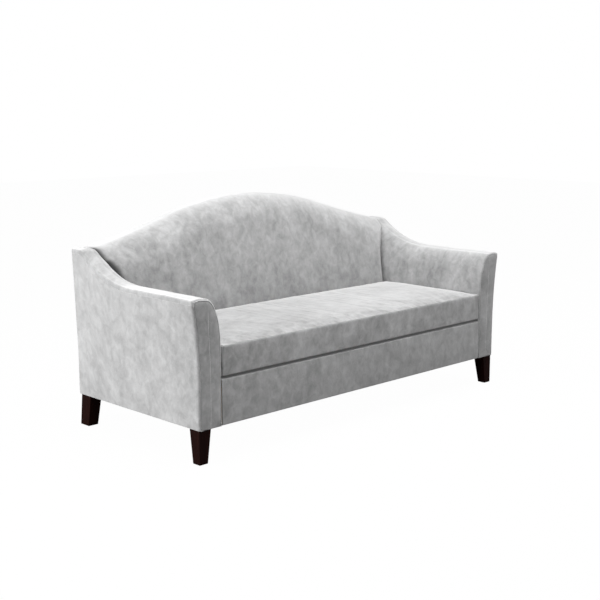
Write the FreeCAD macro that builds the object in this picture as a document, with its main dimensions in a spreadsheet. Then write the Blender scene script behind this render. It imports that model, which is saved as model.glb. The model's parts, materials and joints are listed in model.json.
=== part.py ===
import FreeCAD, Part
import math
import os
import re

import Sketcher

# A three-seat camelback sofa with a loose bench cushion, in millimetres.
# +X runs along the sofa, to the right of someone facing it, +Y to its back and +Z up from the floor.

SIZES = {
    # overall
    "base_half": 965,
    "base_depth": 825,
    "base_height": 143,
    "arm_width": 120.5,
    "flare_front": 26,
    "flare_rear": 16,
    "flare_height": 330,
    "arm_height": 665,
    "arm_rise": 125,
    "sweep_radius": 504,
    "sweep_top_radius": 67,
    "sweep_start": 409,
    "shoulder_width": 76.5,
    "shoulder_height": 190,
    "arm_corner": 8,
    # the back
    "crest_height": 973,
    "crest_radius": 1680,
    "crest_reach": 480,
    "flank_radius": 4500,
    "back_thickness": 212.5,
    "back_lean": 0.19,
    "roll_depth": 122,
    "roll_height": 140,
    "lean_drop": 12,
    # covers and padding
    "skin": 2,
    "wadding": 6,
    "arm_padding": 25,
    "crest_padding": 30,
    "seam_inset": 12,
    "slot_margin": 5,
    # seat
    "deck_height": 332,
    "cushion_seat_gap": 0.3,
    "cushion_side_gap": 2,
    "cushion_back_gap": 1,
    "cushion_boxing": 135.7,
    "cushion_crown": 19,
    # hardwood frame
    "rail_thickness": 28,
    "seat_build": 32,
    "front_board": 18,
    "side_panel": 12,
    "post_width": 45,
    "stile_depth": 25,
    "stile_width": 40,
    "stile_place": 336,
    "stile_drop": 21,
    "tack_rail_height": 45,
    "tack_rail_thickness": 22,
    "camel_rail_end": 90,
    "arm_rail_height": 60,
    "stretcher_lift": 15,
    "stretcher_height": 80,
    "leg_block_height": 40,
    "leg_block_length": 84,
    # suspension
    "spring_wire": 3.6,
    "spring_pitch": 46,
    "spring_run": 22,
    "spring_spacing": 168,
    "spring_count": 10,
    "clip_width": 18,
    "clip_depth": 14,
    "clip_metal": 1.2,
    "tie_rod": 4,
    "webbing_width": 55,
    "webbing_drop": 46,
    "webbing_thickness": 2,
    "webbing_count": 5,
    "burlap": 1,
    # legs and their hardware
    "leg_inset": 5,
    "leg_top": 60.6,
    "leg_foot": 42.7,
    "rear_leg_inset": 8,
    "rear_leg_top_depth": 66,
    "rear_leg_foot_depth": 61,
    "rear_leg_foot_width": 50,
    "rear_leg_back_inset": 7.5,
    "leg_kick": 8,
    "plate_size": 50,
    "bolt": 8,
    "bolt_in_leg": 30,
    "bolt_in_block": 30,
    "glide": 28,
    "glide_height": 2.5,
    # cushion zip
    "zip_end": 242.5,
    "zip_lift": 62.7,
    "zip_slot_height": 24,
    "zip_slot_depth": 7,
    "zip_tape": 1,
    "zip_coil_width": 5,
    "zip_coil_height": 1.5,
    "slider_length": 14,
    "slider_width": 10,
    "slider_wall": 1.2,
    "slider_gap": 0.3,
}

# Planes that follow from the sizes, shared by every piece that meets them.
LINES = {
    "front_y": "-(base_depth + leg_kick) / 2",
    "back_y": "front_y + base_depth",
    "seat_half": "base_half - arm_width",
    "arm_split": "base_half - seam_inset",
    "arm_rail_top": "arm_height - skin - arm_padding",
    "shoulder_x": "seat_half + shoulder_width",
    "arm_top_rear": "arm_height + arm_rise",
    "rear_flare_x": "base_half + flare_rear",
    "crest_turn_z": "crest_height - crest_radius + sqrt(crest_radius^2 - crest_reach^2)",
    "frame_bottom": "base_height + skin",
    "rail_top": "deck_height - seat_build",
    "stretcher_bottom": "frame_bottom + stretcher_lift",
    "core_inner_x": "seat_half + skin + arm_padding",
    "core_outer_x": "base_half - skin - wadding",
    "core_front_y": "front_y + skin + wadding",
    "core_back_y": "back_y - skin",
    "slot_x": "core_inner_x + slot_margin",
    "panel_inner_x": "core_outer_x - side_panel",
    "post_inner_x": "panel_inner_x - post_width",
    "back_rail_y": "core_back_y - rail_thickness",
    "stile_y": "back_rail_y - stile_depth",
    "web_y": "stile_y - webbing_thickness",
    "seat_back_y": "back_y - back_thickness",
    "front_rail_back_y": "core_front_y + rail_thickness",
    "board_back_y": "core_front_y + front_board",
    "front_block_y": "board_back_y + leg_block_length",
    "rear_block_y": "core_back_y - leg_block_length",
    "leg_block_top": "frame_bottom + leg_block_height",
    "wire_z": "rail_top + clip_metal + spring_wire / 2",
    "clip_top": "rail_top + 2 * clip_metal + spring_wire",
    "pad_z": "clip_top + burlap",
    "deck_skin_z": "deck_height - skin",
    "core_turn_z": "crest_turn_z - skin - crest_padding",
    "core_side_z": "arm_top_rear - skin - crest_padding",
    "stile_top": "core_turn_z - stile_drop",
    "camel_rail_bottom": "arm_top_rear - camel_rail_end",
    "webbing_bottom": "deck_height + tack_rail_height",
    "webbing_room": "core_side_z - webbing_drop - webbing_width - webbing_bottom",
    "webbing_pitch": "webbing_room / (webbing_count - 1)",
    "cushion_z": "deck_height + cushion_seat_gap",
    "cushion_edge_height": "cushion_z + cushion_boxing",
    "cushion_top": "cushion_edge_height + cushion_crown",
    "lean_start": "cushion_top - lean_drop",
    "cushion_half": "seat_half - cushion_side_gap",
    "cushion_back_y": "seat_back_y - cushion_back_gap",
    "core_cushion_z": "cushion_z + skin",
    "core_cushion_half": "cushion_half - skin",
    "core_cushion_front_y": "front_y + skin",
    "core_cushion_back_y": "cushion_back_y - skin",
    "core_cushion_edge_z": "cushion_edge_height - skin",
    "crown_across": "(cushion_half^2 + cushion_crown^2) / (2 * cushion_crown)",
    "half_cushion": "(cushion_back_y - front_y) / 2",
    "crown_along": "(half_cushion^2 + cushion_crown^2) / (2 * cushion_crown)",
    "front_leg_x": "base_half - leg_inset",
    "front_leg_y": "front_y + leg_inset",
    "rear_leg_x": "base_half - rear_leg_inset",
    "rear_leg_y": "back_y - rear_leg_back_inset",
    "rear_foot_y": "back_y + leg_kick",
    "front_bolt_x": "front_leg_x - leg_top / 2",
    "front_bolt_y": "front_leg_y + leg_top / 2",
    "rear_bolt_x": "rear_leg_x - leg_top / 2",
    "rear_bolt_y": "rear_leg_y - rear_leg_top_depth / 2",
    "zip_half": "cushion_half - zip_end",
    "zip_height": "cushion_z + zip_lift",
    "zip_floor_y": "cushion_back_y - zip_slot_depth",
    "zip_tape_y": "zip_floor_y + zip_tape",
    "zip_coil_y": "zip_tape_y + zip_coil_height",
}

SIDES = {"left": -1, "right": 1}
FLARE_SLACK = 0.45
SWEEP_STEPS = 6
SWEEP_TOP_STEPS = 3
CREST_STEPS = 8
WORD = re.compile(r"[a-z][a-z0-9_]*")

doc = FreeCAD.newDocument("camelback_sofa")
sheet = doc.addObject("Spreadsheet::Sheet", "sizes")
for row, (name, number) in enumerate(SIZES.items(), start=1):
    sheet.set("A%d" % row, name)
    sheet.set("B%d" % row, str(number))
    sheet.setAlias("B%d" % row, name)
doc.recompute()


# An expression over size and plane names, written out over the sheet's cells alone.
def over_sheet(text):
    def swap(match):
        word = match.group(0)
        if word in SIZES:
            return "sizes." + word
        if word in LINES:
            return "(" + over_sheet(LINES[word]) + ")"
        return word

    return WORD.sub(swap, text)


planes = doc.addObject("App::VarSet", "planes")
for name, text in LINES.items():
    planes.addProperty("App::PropertyFloat", name, "planes")
    planes.setExpression(name, over_sheet(text))
doc.recompute()


# A reference to a size or a plane by name, for a piece's own properties.
def bound(text):
    def swap(match):
        word = match.group(0)
        if word in SIZES:
            return "sizes." + word
        if word in LINES:
            return "planes." + word
        return word

    return WORD.sub(swap, text)


def bind(item, prop, text):
    item.setExpression(prop, bound(text))


# The present value of one size or plane, with an optional minus sign.
def value(name):
    if name.startswith("-"):
        return -value(name[1:])
    if name in SIZES:
        return float(sheet.get(name))
    return float(getattr(planes, name))


parts = {}


def keep(node, item):
    item.Label = node
    parts[node] = item
    return item


# A board or block between two planes along each axis, mirrored to the left where side is -1.
def block(name, across, along, up, side=1):
    item = doc.addObject("Part::Box", name)
    low, high = across
    if side < 0:
        low, high = "-(%s)" % high, "-(%s)" % low
    for prop, place, (start, end) in (
        ("Length", "x", (low, high)),
        ("Width", "y", along),
        ("Height", "z", up),
    ):
        bind(item, prop, "(%s) - (%s)" % (end, start))
        bind(item, "Placement.Base." + place, start)
    return item


# An upright round bar.
def upright(name, across, along, bottom, radius, length, side=1):
    item = doc.addObject("Part::Cylinder", name)
    bind(item, "Radius", radius)
    bind(item, "Height", length)
    bind(item, "Placement.Base.x", across if side > 0 else "-(%s)" % across)
    bind(item, "Placement.Base.y", along)
    bind(item, "Placement.Base.z", bottom)
    return item


def joined(kind, name, base, tool):
    item = doc.addObject(kind, name)
    item.Base = base
    item.Tool = tool
    return item


def cut(name, base, *tools):
    for count, tool in enumerate(tools, start=1):
        last = count == len(tools)
        base = joined("Part::Cut", name if last else "%s_step_%d" % (name, count), base, tool)
    return base


def common(name, base, tool):
    return joined("Part::Common", name, base, tool)


def group(name, items):
    item = doc.addObject("Part::Compound", name)
    item.Links = items
    return item


# The middle point of an arc between two points. It bulges to the right of that way if radius is positive.
def arc_middle(start, end, radius):
    chord = end - start
    middle = (start + end) * 0.5
    half = chord.Length / 2
    rise = abs(radius) - math.sqrt(radius * radius - half * half)
    right = FreeCAD.Vector(chord.y, -chord.x, 0).normalize()
    return middle + right * math.copysign(rise, radius)


# A body whose closed outline has its corners at named planes. An edge is straight, or an arc of named radius.
def outlined(name, plane, offset, length, corners, arcs):
    body = doc.addObject("PartDesign::Body", name)
    sketch = body.newObject("Sketcher::SketchObject", name + "_outline")
    support = [item for item in body.Origin.OriginFeatures if item.Role == plane][0]
    sketch.AttachmentSupport = [(support, "")]
    sketch.MapMode = "FlatFace"
    bind(sketch, "AttachmentOffset.Base.z", offset)
    places = [FreeCAD.Vector(value(a), value(b), 0) for a, b in corners]
    count = len(corners)
    for index, start in enumerate(places):
        end = places[(index + 1) % count]
        if index in arcs:
            sign, radius = arcs[index]
            bend = arc_middle(start, end, sign * value(radius))
            sketch.addGeometry(Part.Arc(start, bend, end), False)
        else:
            sketch.addGeometry(Part.LineSegment(start, end), False)
    ends = []
    for index, start in enumerate(places):
        forward = sketch.getPoint(index, 1).distanceToPoint(start) < 0.001
        ends.append((1, 2) if forward else (2, 1))
    for index, (across, up) in enumerate(corners):
        after = (index + 1) % count
        sketch.addConstraint(Sketcher.Constraint("Coincident", index, ends[index][1], after, ends[after][0]))
        first = ends[index][0]
        for kind, text in (("DistanceX", across), ("DistanceY", up)):
            number = sketch.addConstraint(Sketcher.Constraint(kind, index, first, value(text)))
            bind(sketch, "Constraints[%d]" % number, text)
        if index in arcs:
            radius = arcs[index][1]
            number = sketch.addConstraint(Sketcher.Constraint("Radius", index, value(radius)))
            bind(sketch, "Constraints[%d]" % number, radius)
    pad = body.newObject("PartDesign::Pad", name + "_pad")
    pad.Profile = sketch
    bind(pad, "Length", length)
    return body


# A curve from one end to the other, pulled towards the corner between them: more with a larger weight.
def pulled(start, corner, end, weight=1.0):
    curve = Part.BezierCurve()
    curve.setPoles([FreeCAD.Vector(*point) for point in (start, corner, end)])
    curve.setWeight(2, weight)
    return curve.toShape()


# A quarter of an ellipse that fills the corner between its two ends.
def quarter_round(start, corner, end):
    return pulled(start, corner, end, math.sqrt(0.5))


def line(start, end):
    return Part.makeLine(FreeCAD.Vector(*start), FreeCAD.Vector(*end))


# The height of the arm's top above the floor, from front to back: level, a hollow arc, a round arc, level.
def arm_top(y):
    rise = value("arm_rise")
    hollow, rounded = value("sweep_radius"), value("sweep_top_radius")
    turn = math.acos(1 - rise / (hollow + rounded))
    start = value("back_y") - value("sweep_start")
    run = y - start
    if run <= 0:
        lift = 0
    elif run <= hollow * math.sin(turn):
        lift = hollow - math.sqrt(hollow * hollow - run * run)
    elif run < (hollow + rounded) * math.sin(turn):
        left = (hollow + rounded) * math.sin(turn) - run
        lift = rise - rounded + math.sqrt(rounded * rounded - left * left)
    else:
        lift = rise
    return value("arm_height") + lift


# The closed section of the right arm at y, set in from its true surface at the seat, outside and top.
def arm_section(y, bottom, insets, flared):
    def place(x, z):
        return (x, y, z)

    inset_in, inset_out, inset_top = insets
    top = arm_top(y) - inset_top
    inner = value("seat_half") + inset_in
    outer = value("base_half") - inset_out
    knee = value("flare_height")
    corner = value("arm_corner")
    width, height = value("shoulder_width"), value("shoulder_height")
    share = (y - value("front_y")) / value("base_depth")
    flare = value("flare_front") + (value("flare_rear") - value("flare_front")) * share
    if not flared:
        flare = 0
    rim = top - corner
    # The flare is a full curve at the front and nearly straight at the back.
    pull = outer + flare * FLARE_SLACK * share
    edges = [
        line(place(outer, bottom), place(inner, bottom)),
        line(place(inner, bottom), place(inner, top - height)),
        quarter_round(place(inner, top - height), place(inner, top), place(inner + width, top)),
        line(place(inner + width, top), place(outer + flare - corner, top)),
        pulled(place(outer + flare - corner, top), place(outer + flare, top), place(outer + flare, rim)),
        pulled(place(outer + flare, rim), place(pull, (rim + knee) / 2), place(outer, knee)),
        line(place(outer, knee), place(outer, bottom)),
    ]
    return Part.Wire(edges)


def lofted(name, wires):
    item = doc.addObject("Part::Feature", name)
    item.Shape = Part.makeLoft(wires, True, True)
    return item


def arm_solid(name, front, bottom, insets, flared):
    start = value("back_y") - value("sweep_start")
    hollow, rounded = value("sweep_radius"), value("sweep_top_radius")
    turn = math.acos(1 - value("arm_rise") / (hollow + rounded))
    stations = [front, start]
    for step in range(1, SWEEP_STEPS + 1):
        stations.append(start + hollow * math.sin(turn * step / SWEEP_STEPS))
    for step in reversed(range(SWEEP_TOP_STEPS)):
        part = math.sin(turn * step / SWEEP_TOP_STEPS)
        stations.append(start + (hollow + rounded) * math.sin(turn) - rounded * part)
    stations.append(value("core_back_y"))
    return lofted(name, [arm_section(y, bottom, insets, flared) for y in stations])


# The height of the hump's crest above the floor at x.
def crest(x):
    reach, radius = value("crest_reach"), value("crest_radius")
    x = abs(x)
    if x <= reach:
        return value("crest_height") - radius + math.sqrt(radius * radius - x * x)
    start = FreeCAD.Vector(reach, value("crest_turn_z"), 0)
    end = FreeCAD.Vector(value("shoulder_x"), value("arm_top_rear"), 0)
    flank = value("flank_radius")
    middle = (start + end) * 0.5
    half = (end - start).Length / 2
    up = FreeCAD.Vector(start.y - end.y, end.x - start.x, 0).normalize()
    centre = middle + up * math.sqrt(flank * flank - half * half)
    return centre.y - math.sqrt(flank * flank - (x - centre.x) ** 2)


# The closed section of the back's padding at x, set in from its true surface.
def back_section(x, inset, rear):
    def place(y, z):
        return (x, y, z)

    bottom, knee = value("deck_height"), value("lean_start")
    top = crest(x) - inset
    face = value("seat_back_y") + inset
    roll = top - value("roll_height")
    lean = face + value("back_lean") * (roll - knee)
    edges = [
        line(place(rear, bottom), place(face, bottom)),
        line(place(face, bottom), place(face, knee)),
        line(place(face, knee), place(lean, roll)),
        quarter_round(place(lean, roll), place(lean, top), place(lean + value("roll_depth"), top)),
        line(place(lean + value("roll_depth"), top), place(rear, top)),
        line(place(rear, top), place(rear, bottom)),
    ]
    return Part.Wire(edges)


def back_solid(name, inset, rear):
    end = value("shoulder_x") - inset
    wires = []
    for step in range(-CREST_STEPS, CREST_STEPS + 1):
        wires.append(back_section(end * step / CREST_STEPS, inset, value(rear)))
    return lofted(name, wires)


# The same piece on the other side of the sofa.
def mirrored(name, source):
    item = doc.addObject("Part::Mirroring", name)
    item.Source = source
    item.Normal = FreeCAD.Vector(1, 0, 0)
    return item


def both(node, item):
    keep(node + "_right", item)
    keep(node + "_left", mirrored(node + "_left", item))


# Both arms: the covers, the padding and the frame inside them. The left arm mirrors the right one.
def arms(seat_slot, back_slot):
    skin = value("skin")
    bottom = value("base_height")
    inside = skin + value("arm_padding")
    behind_cover = value("front_y") + skin
    shell = arm_solid("arm_form", value("front_y"), bottom, (0, 0, 0), True)
    lining = arm_solid("arm_lining", behind_cover, bottom, (skin, skin, skin), True)
    filling = arm_solid("arm_filling", behind_cover, value("frame_bottom"), (skin, skin, skin), True)
    core = arm_solid("arm_core", value("core_front_y"), value("frame_bottom"),
                     (inside, skin + value("wadding"), inside), False)
    walls = cut("arm_walls", shell, lining)
    panel = block("arm_panel_zone", ("seat_half", "base_half + flare_front"),
                  ("front_y", "front_y + skin"), ("base_height", "arm_top_rear"))
    both("arm_front_cover", common("arm_front_cover", shell, panel))
    outer_zone = block("outside_zone", ("arm_split", "base_half + flare_front + skin"),
                       ("front_y + skin", "core_back_y"), ("base_height", "arm_top_rear + skin"))
    both("outside_arm_cover", common("outside_arm_cover", walls, outer_zone))
    inner_zone = block("inside_zone", ("seat_half - skin", "arm_split"),
                       ("front_y + skin", "core_back_y"), ("deck_height", "arm_top_rear + skin"))
    facing = common("arm_facing", walls, inner_zone)
    both("inside_arm_cover", cut("inside_arm_cover", facing, back_slot))
    both("arm_padding", cut("arm_padding", filling, core, seat_slot, back_slot))
    height = ("frame_bottom", "arm_top_rear")
    boards = {
        "arm_front_board": (("core_inner_x", "core_outer_x"), ("core_front_y", "board_back_y"), height),
        "arm_side_panel": (("panel_inner_x", "core_outer_x"), ("board_back_y", "core_back_y"), height),
        "side_rail": (("panel_inner_x - rail_thickness", "panel_inner_x"), ("front_block_y", "rear_block_y"),
                      ("frame_bottom", "rail_top")),
        "arm_tack_rail": (("core_inner_x", "core_inner_x + tack_rail_thickness"), ("board_back_y", "web_y"),
                          ("deck_height", "deck_height + tack_rail_height")),
        "arm_top_rail": (("core_inner_x", "panel_inner_x"), ("board_back_y", "web_y"),
                         ("arm_rail_top - arm_rail_height", "arm_rail_top")),
        "back_post": (("post_inner_x", "panel_inner_x"), ("stile_y", "core_back_y"),
                      ("leg_block_top", "arm_top_rear")),
    }
    for node, (across, along, up) in boards.items():
        both(node, common(node, core, block(node + "_blank", across, along, up)))
    return shell


# The seat's hardwood frame and the back's, between the arms.
def frame():
    middle = ("-core_inner_x", "core_inner_x")
    between = ("-post_inner_x", "post_inner_x")
    low = ("frame_bottom", "rail_top")
    behind = ("back_rail_y", "core_back_y")
    keep("front_rail", block("front_rail", middle, ("core_front_y", "front_rail_back_y"), low))
    keep("back_rail", block("back_rail", between, behind, low))
    above_deck = ("deck_height", "deck_height + tack_rail_height")
    keep("back_tack_rail", block("back_tack_rail", between, behind, above_deck))
    keep("centre_stretcher", block("centre_stretcher", ("-rail_thickness / 2", "rail_thickness / 2"),
                                   ("front_rail_back_y", "back_rail_y"),
                                   ("stretcher_bottom", "stretcher_bottom + stretcher_height")))
    stiles = []
    across = ("stile_place - stile_width / 2", "stile_place + stile_width / 2")
    for word, side in SIDES.items():
        stiles.append(block("back_stile_" + word, across, ("stile_y", "back_rail_y"),
                            ("frame_bottom", "stile_top"), side))
    keep("back_stiles", group("back_stiles", stiles))
    zone = outlined("back_core", "XZ_Plane", "-core_back_y", "core_back_y - web_y", [
        ("-post_inner_x", "frame_bottom"), ("post_inner_x", "frame_bottom"),
        ("post_inner_x", "core_side_z"), ("crest_reach", "core_turn_z"),
        ("-crest_reach", "core_turn_z"), ("-post_inner_x", "core_side_z"),
    ], {2: (-1, "flank_radius"), 3: (1, "crest_radius"), 4: (-1, "flank_radius")})
    strip = block("camel_rail_zone", between, behind, ("camel_rail_bottom", "crest_height"))
    keep("camel_top_rail", common("camel_top_rail", zone, strip))
    return zone


# Tight back: padding over the frame, one inside cover, and the outside cover over back and arms.
def back(zone, arm_form, back_slot):
    form = back_solid("back_form", 0, "core_back_y")
    lining = back_solid("back_lining", value("skin"), "core_back_y")
    hollow = back_solid("back_hollow", value("skin"), "back_y")
    end = cut("arm_end_right", arm_form, back_slot)
    ends = [end, mirrored("arm_end_left", end)]
    keep("inside_back_cover", cut("inside_back_cover", form, hollow, *ends))
    keep("back_padding", cut("back_padding", lining, zone, *ends))
    keep("outside_back_cover", outlined("outside_back_cover", "XZ_Plane", "-back_y", "skin", [
        ("-base_half", "base_height"), ("base_half", "base_height"), ("base_half", "flare_height"),
        ("rear_flare_x", "arm_top_rear"), ("shoulder_x", "arm_top_rear"), ("crest_reach", "crest_turn_z"),
        ("-crest_reach", "crest_turn_z"), ("-shoulder_x", "arm_top_rear"), ("-rear_flare_x", "arm_top_rear"),
        ("-base_half", "flare_height"),
    ], {4: (-1, "flank_radius"), 5: (1, "crest_radius"), 6: (-1, "flank_radius")}))
    straps = []
    reach = "post_inner_x + post_width / 2"
    for number in range(int(value("webbing_count"))):
        bottom = "webbing_bottom + %d * webbing_pitch" % number
        straps.append(block("webbing_%d" % (number + 1), ("-(%s)" % reach, reach), ("web_y", "stile_y"),
                            (bottom, bottom + " + webbing_width")))
    keep("back_webbing", group("back_webbing", straps))


# One sinuous spring: straight runs across it, joined by half turns, from the front clip to the back clip.
def spring_shape(x, front, rear, height):
    pitch = (rear - front) / max(2, round((rear - front) / value("spring_pitch")))
    runs = int(round((rear - front) / pitch)) + 1
    half = value("spring_run") / 2
    edges = []
    for run in range(runs):
        y = front + run * pitch
        way = 1 if run % 2 == 0 else -1
        start = FreeCAD.Vector(x - way * half, y, height)
        end = FreeCAD.Vector(x + way * half, y, height)
        edges.append(Part.makeLine(start, end))
        if run < runs - 1:
            side = FreeCAD.Vector(end.x + way * pitch / 2, y + pitch / 2, height)
            after = FreeCAD.Vector(end.x, y + pitch, height)
            edges.append(Part.Arc(end, side, after).toShape())
    path = Part.Wire(edges)
    circle = Part.makeCircle(value("spring_wire") / 2, path.Vertexes[0].Point, FreeCAD.Vector(1, 0, 0))
    return path.makePipeShell([Part.Wire([circle])], True, True)


# A folded steel clip that holds a spring's end run.
def clip_shape(x, y, height):
    width, depth = value("clip_width"), value("clip_depth")
    tall = value("spring_wire") + 2 * value("clip_metal")
    corner = FreeCAD.Vector(x - width / 2, y - depth / 2, height - tall / 2)
    clip = Part.makeBox(width, depth, tall, corner)
    start = FreeCAD.Vector(x - width, y, height)
    return clip.cut(Part.makeCylinder(value("spring_wire") / 2, 2 * width, start, FreeCAD.Vector(1, 0, 0)))


def solids(node, shapes):
    item = doc.addObject("Part::Feature", node)
    item.Shape = Part.makeCompound(shapes)
    return keep(node, item)


def suspension():
    front = (value("core_front_y") + value("front_rail_back_y")) / 2
    rear = (value("back_rail_y") + value("core_back_y")) / 2
    height = value("wire_z")
    count = int(value("spring_count"))
    places = [(number - (count - 1) / 2) * value("spring_spacing") for number in range(count)]
    solids("seat_springs", [spring_shape(x, front, rear, height) for x in places])
    solids("spring_clips", [clip_shape(x, y, height) for x in places for y in (front, rear)])
    reach = places[-1] + value("spring_run")
    low = height - value("spring_wire") / 2 - value("tie_rod") / 2
    rods = []
    for share in (1 / 3, 2 / 3):
        start = FreeCAD.Vector(-reach, front + (rear - front) * share, low)
        rods.append(Part.makeCylinder(value("tie_rod") / 2, 2 * reach, start, FreeCAD.Vector(1, 0, 0)))
    solids("spring_tie_rods", rods)


# What lies on the springs, and the plain panel under the cushion.
def seat_deck():
    across = ("-core_inner_x", "core_inner_x")
    panel = ("-seat_half", "seat_half")
    along = ("core_front_y", "web_y")
    keep("spring_burlap", block("spring_burlap", across, along, ("clip_top", "pad_z")))
    keep("deck_padding", block("deck_padding", across, along, ("pad_z", "deck_skin_z")))
    keep("deck_cover", block("deck_cover", across, along, ("deck_skin_z", "deck_height")))
    keep("front_rail_padding", block("front_rail_padding", panel, ("front_y + skin", "core_front_y"),
                                     ("frame_bottom", "deck_height")))
    keep("front_rail_cover", block("front_rail_cover", panel, ("front_y", "front_y + skin"),
                                   ("base_height", "deck_height")))


# A boxed cushion form with a top that is crowned both ways.
def cushion_form(name, half, front, rear, bottom, edge, crown_radius_along, crown_radius_across):
    lengthwise = outlined(name + "_lengthwise", "XZ_Plane", "-" + rear, rear + " - " + front, [
        ("-" + half, bottom), (half, bottom), (half, edge), ("-" + half, edge),
    ], {2: (1, crown_radius_across)})
    crosswise = outlined(name + "_crosswise", "YZ_Plane", "-" + half, "2 * " + half, [
        (front, bottom), (rear, bottom), (rear, edge), (front, edge),
    ], {2: (1, crown_radius_along)})
    return common(name, lengthwise, crosswise)


# The loose cushion: foam, its boxed cover, and a zip let into the rear boxing.
def cushion():
    form = cushion_form("cushion_form", "cushion_half", "front_y", "cushion_back_y", "cushion_z",
                        "cushion_edge_height", "crown_along", "crown_across")
    foam = cushion_form("cushion_foam", "core_cushion_half", "core_cushion_front_y", "core_cushion_back_y",
                        "core_cushion_z", "core_cushion_edge_z", "crown_along", "crown_across")
    slot = block("zip_slot", ("-zip_half", "zip_half"), ("zip_floor_y", "cushion_back_y + skin"),
                 ("zip_height - zip_slot_height / 2", "zip_height + zip_slot_height / 2"))
    lip = block("zip_lip", ("-(zip_half + skin)", "zip_half + skin"),
                ("zip_floor_y - skin", "cushion_back_y + skin"),
                ("zip_height - zip_slot_height / 2 - skin", "zip_height + zip_slot_height / 2 + skin"))
    core = keep("cushion_core", cut("cushion_core", foam, lip))
    keep("cushion_cover", cut("cushion_cover", form, slot, core))
    keep("zip_tape", block("zip_tape", ("-zip_half", "zip_half"), ("zip_floor_y", "zip_tape_y"),
                           ("zip_height - zip_slot_height / 2", "zip_height + zip_slot_height / 2")))
    keep("zip_coil", block("zip_coil", ("-zip_half", "zip_half"), ("zip_tape_y", "zip_coil_y"),
                           ("zip_height - zip_coil_width / 2", "zip_height + zip_coil_width / 2")))
    across = ("-zip_half", "-zip_half + slider_length")
    hood = block("slider_hood", across, ("zip_tape_y + slider_gap", "zip_coil_y + slider_gap + slider_wall"),
                 ("zip_height - slider_width / 2", "zip_height + slider_width / 2"))
    channel_half = "(zip_coil_width / 2 + slider_gap)"
    channel = block("slider_channel", ("-zip_half - skin", "-zip_half + slider_length + skin"),
                    ("zip_tape_y", "zip_coil_y + slider_gap"),
                    ("zip_height - " + channel_half, "zip_height + " + channel_half))
    keep("zip_slider", cut("zip_slider", hood, channel))


# A leg as a frustum standing on its glide: two flat outer faces, tapered towards the foot on the inner ones.
def leg_wedge(name, side, outer, top_width, foot_width, top, foot):
    item = doc.addObject("Part::Wedge", name)
    item.Placement = FreeCAD.Placement(FreeCAD.Vector(), FreeCAD.Rotation(FreeCAD.Vector(1, 0, 0), 90))
    inner_foot, inner_top = "(%s - %s)" % (outer, foot_width), "(%s - %s)" % (outer, top_width)
    if side > 0:
        spans = (inner_foot, outer, inner_top, outer)
    else:
        spans = ("-" + outer, "-" + inner_foot, "-" + outer, "-" + inner_top)
    for prop, text in zip(("Xmin", "Xmax", "X2min", "X2max"), spans):
        bind(item, prop, text)
    for prop, text in (("Zmin", foot[1]), ("Zmax", foot[0]), ("Z2min", top[1]), ("Z2max", top[0])):
        bind(item, prop, "-(%s)" % text)
    bind(item, "Ymin", "glide_height")
    bind(item, "Ymax", "base_height")
    return item


def legs():
    bolts, plates, glides, holes = [], [], [], []
    ends = {
        "front": ("front_leg_x", "leg_top", "leg_foot",
                  ("front_leg_y", "front_leg_y + leg_top"), ("front_leg_y", "front_leg_y + leg_foot"),
                  "front_bolt_x", "front_bolt_y", ("board_back_y", "front_block_y"),
                  "front_leg_x - leg_foot / 2", "front_leg_y + leg_foot / 2"),
        "rear": ("rear_leg_x", "leg_top", "rear_leg_foot_width",
                 ("rear_leg_y - rear_leg_top_depth", "rear_leg_y"),
                 ("rear_foot_y - rear_leg_foot_depth", "rear_foot_y"),
                 "rear_bolt_x", "rear_bolt_y", ("rear_block_y", "core_back_y"),
                 "rear_leg_x - rear_leg_foot_width / 2", "rear_foot_y - rear_leg_foot_depth / 2"),
    }
    for end, (outer, top_width, foot_width, top, foot, x, y, reach, foot_x, foot_y) in ends.items():
        for word, side in SIDES.items():
            tag = end + "_" + word
            bolt = upright("bolt_" + tag, x, y, "base_height - bolt_in_leg", "bolt / 2",
                           "bolt_in_leg + skin + bolt_in_block", side)
            bolts.append(bolt)
            wedge = leg_wedge("leg_form_" + tag, side, outer, top_width, foot_width, top, foot)
            keep("%s_leg_%s" % (end, word), cut("%s_leg_%s" % (end, word), wedge, bolt))
            around = ("%s - plate_size / 2" % x, "%s + plate_size / 2" % x)
            beside = ("%s - plate_size / 2" % y, "%s + plate_size / 2" % y)
            plate = block("plate_form_" + tag, around, beside, ("base_height", "frame_bottom"), side)
            holes.append(plate)
            plates.append(cut("plate_" + tag, plate, bolt))
            blank = block("leg_block_form_" + tag, ("post_inner_x", "panel_inner_x"), reach,
                          ("frame_bottom", "leg_block_top"), side)
            keep("leg_block_" + tag, cut("leg_block_" + tag, blank, bolt))
            glides.append(upright("glide_" + tag, foot_x, foot_y, "0", "glide / 2", "glide_height", side))
    keep("hanger_bolts", group("hanger_bolts", bolts))
    keep("leg_plates", group("leg_plates", plates))
    keep("leg_glides", group("leg_glides", glides))
    sheet_below = block("dust_sheet", ("-(base_half - skin)", "base_half - skin"),
                        ("front_y + skin", "core_back_y"), ("base_height", "frame_bottom"))
    keep("dust_cover", cut("dust_cover", sheet_below, *holes))


seat_slot = block("seat_slot", ("-slot_x", "slot_x"), ("core_front_y", "core_back_y + skin"),
                  ("0", "deck_height"))
back_slot = block("back_slot", ("-post_inner_x", "post_inner_x"), ("web_y", "back_y + skin"),
                  ("0", "crest_height + skin"))
arm_form = arms(seat_slot, back_slot)
back(frame(), arm_form, back_slot)
suspension()
seat_deck()
cushion()
legs()
doc.recompute()

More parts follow.
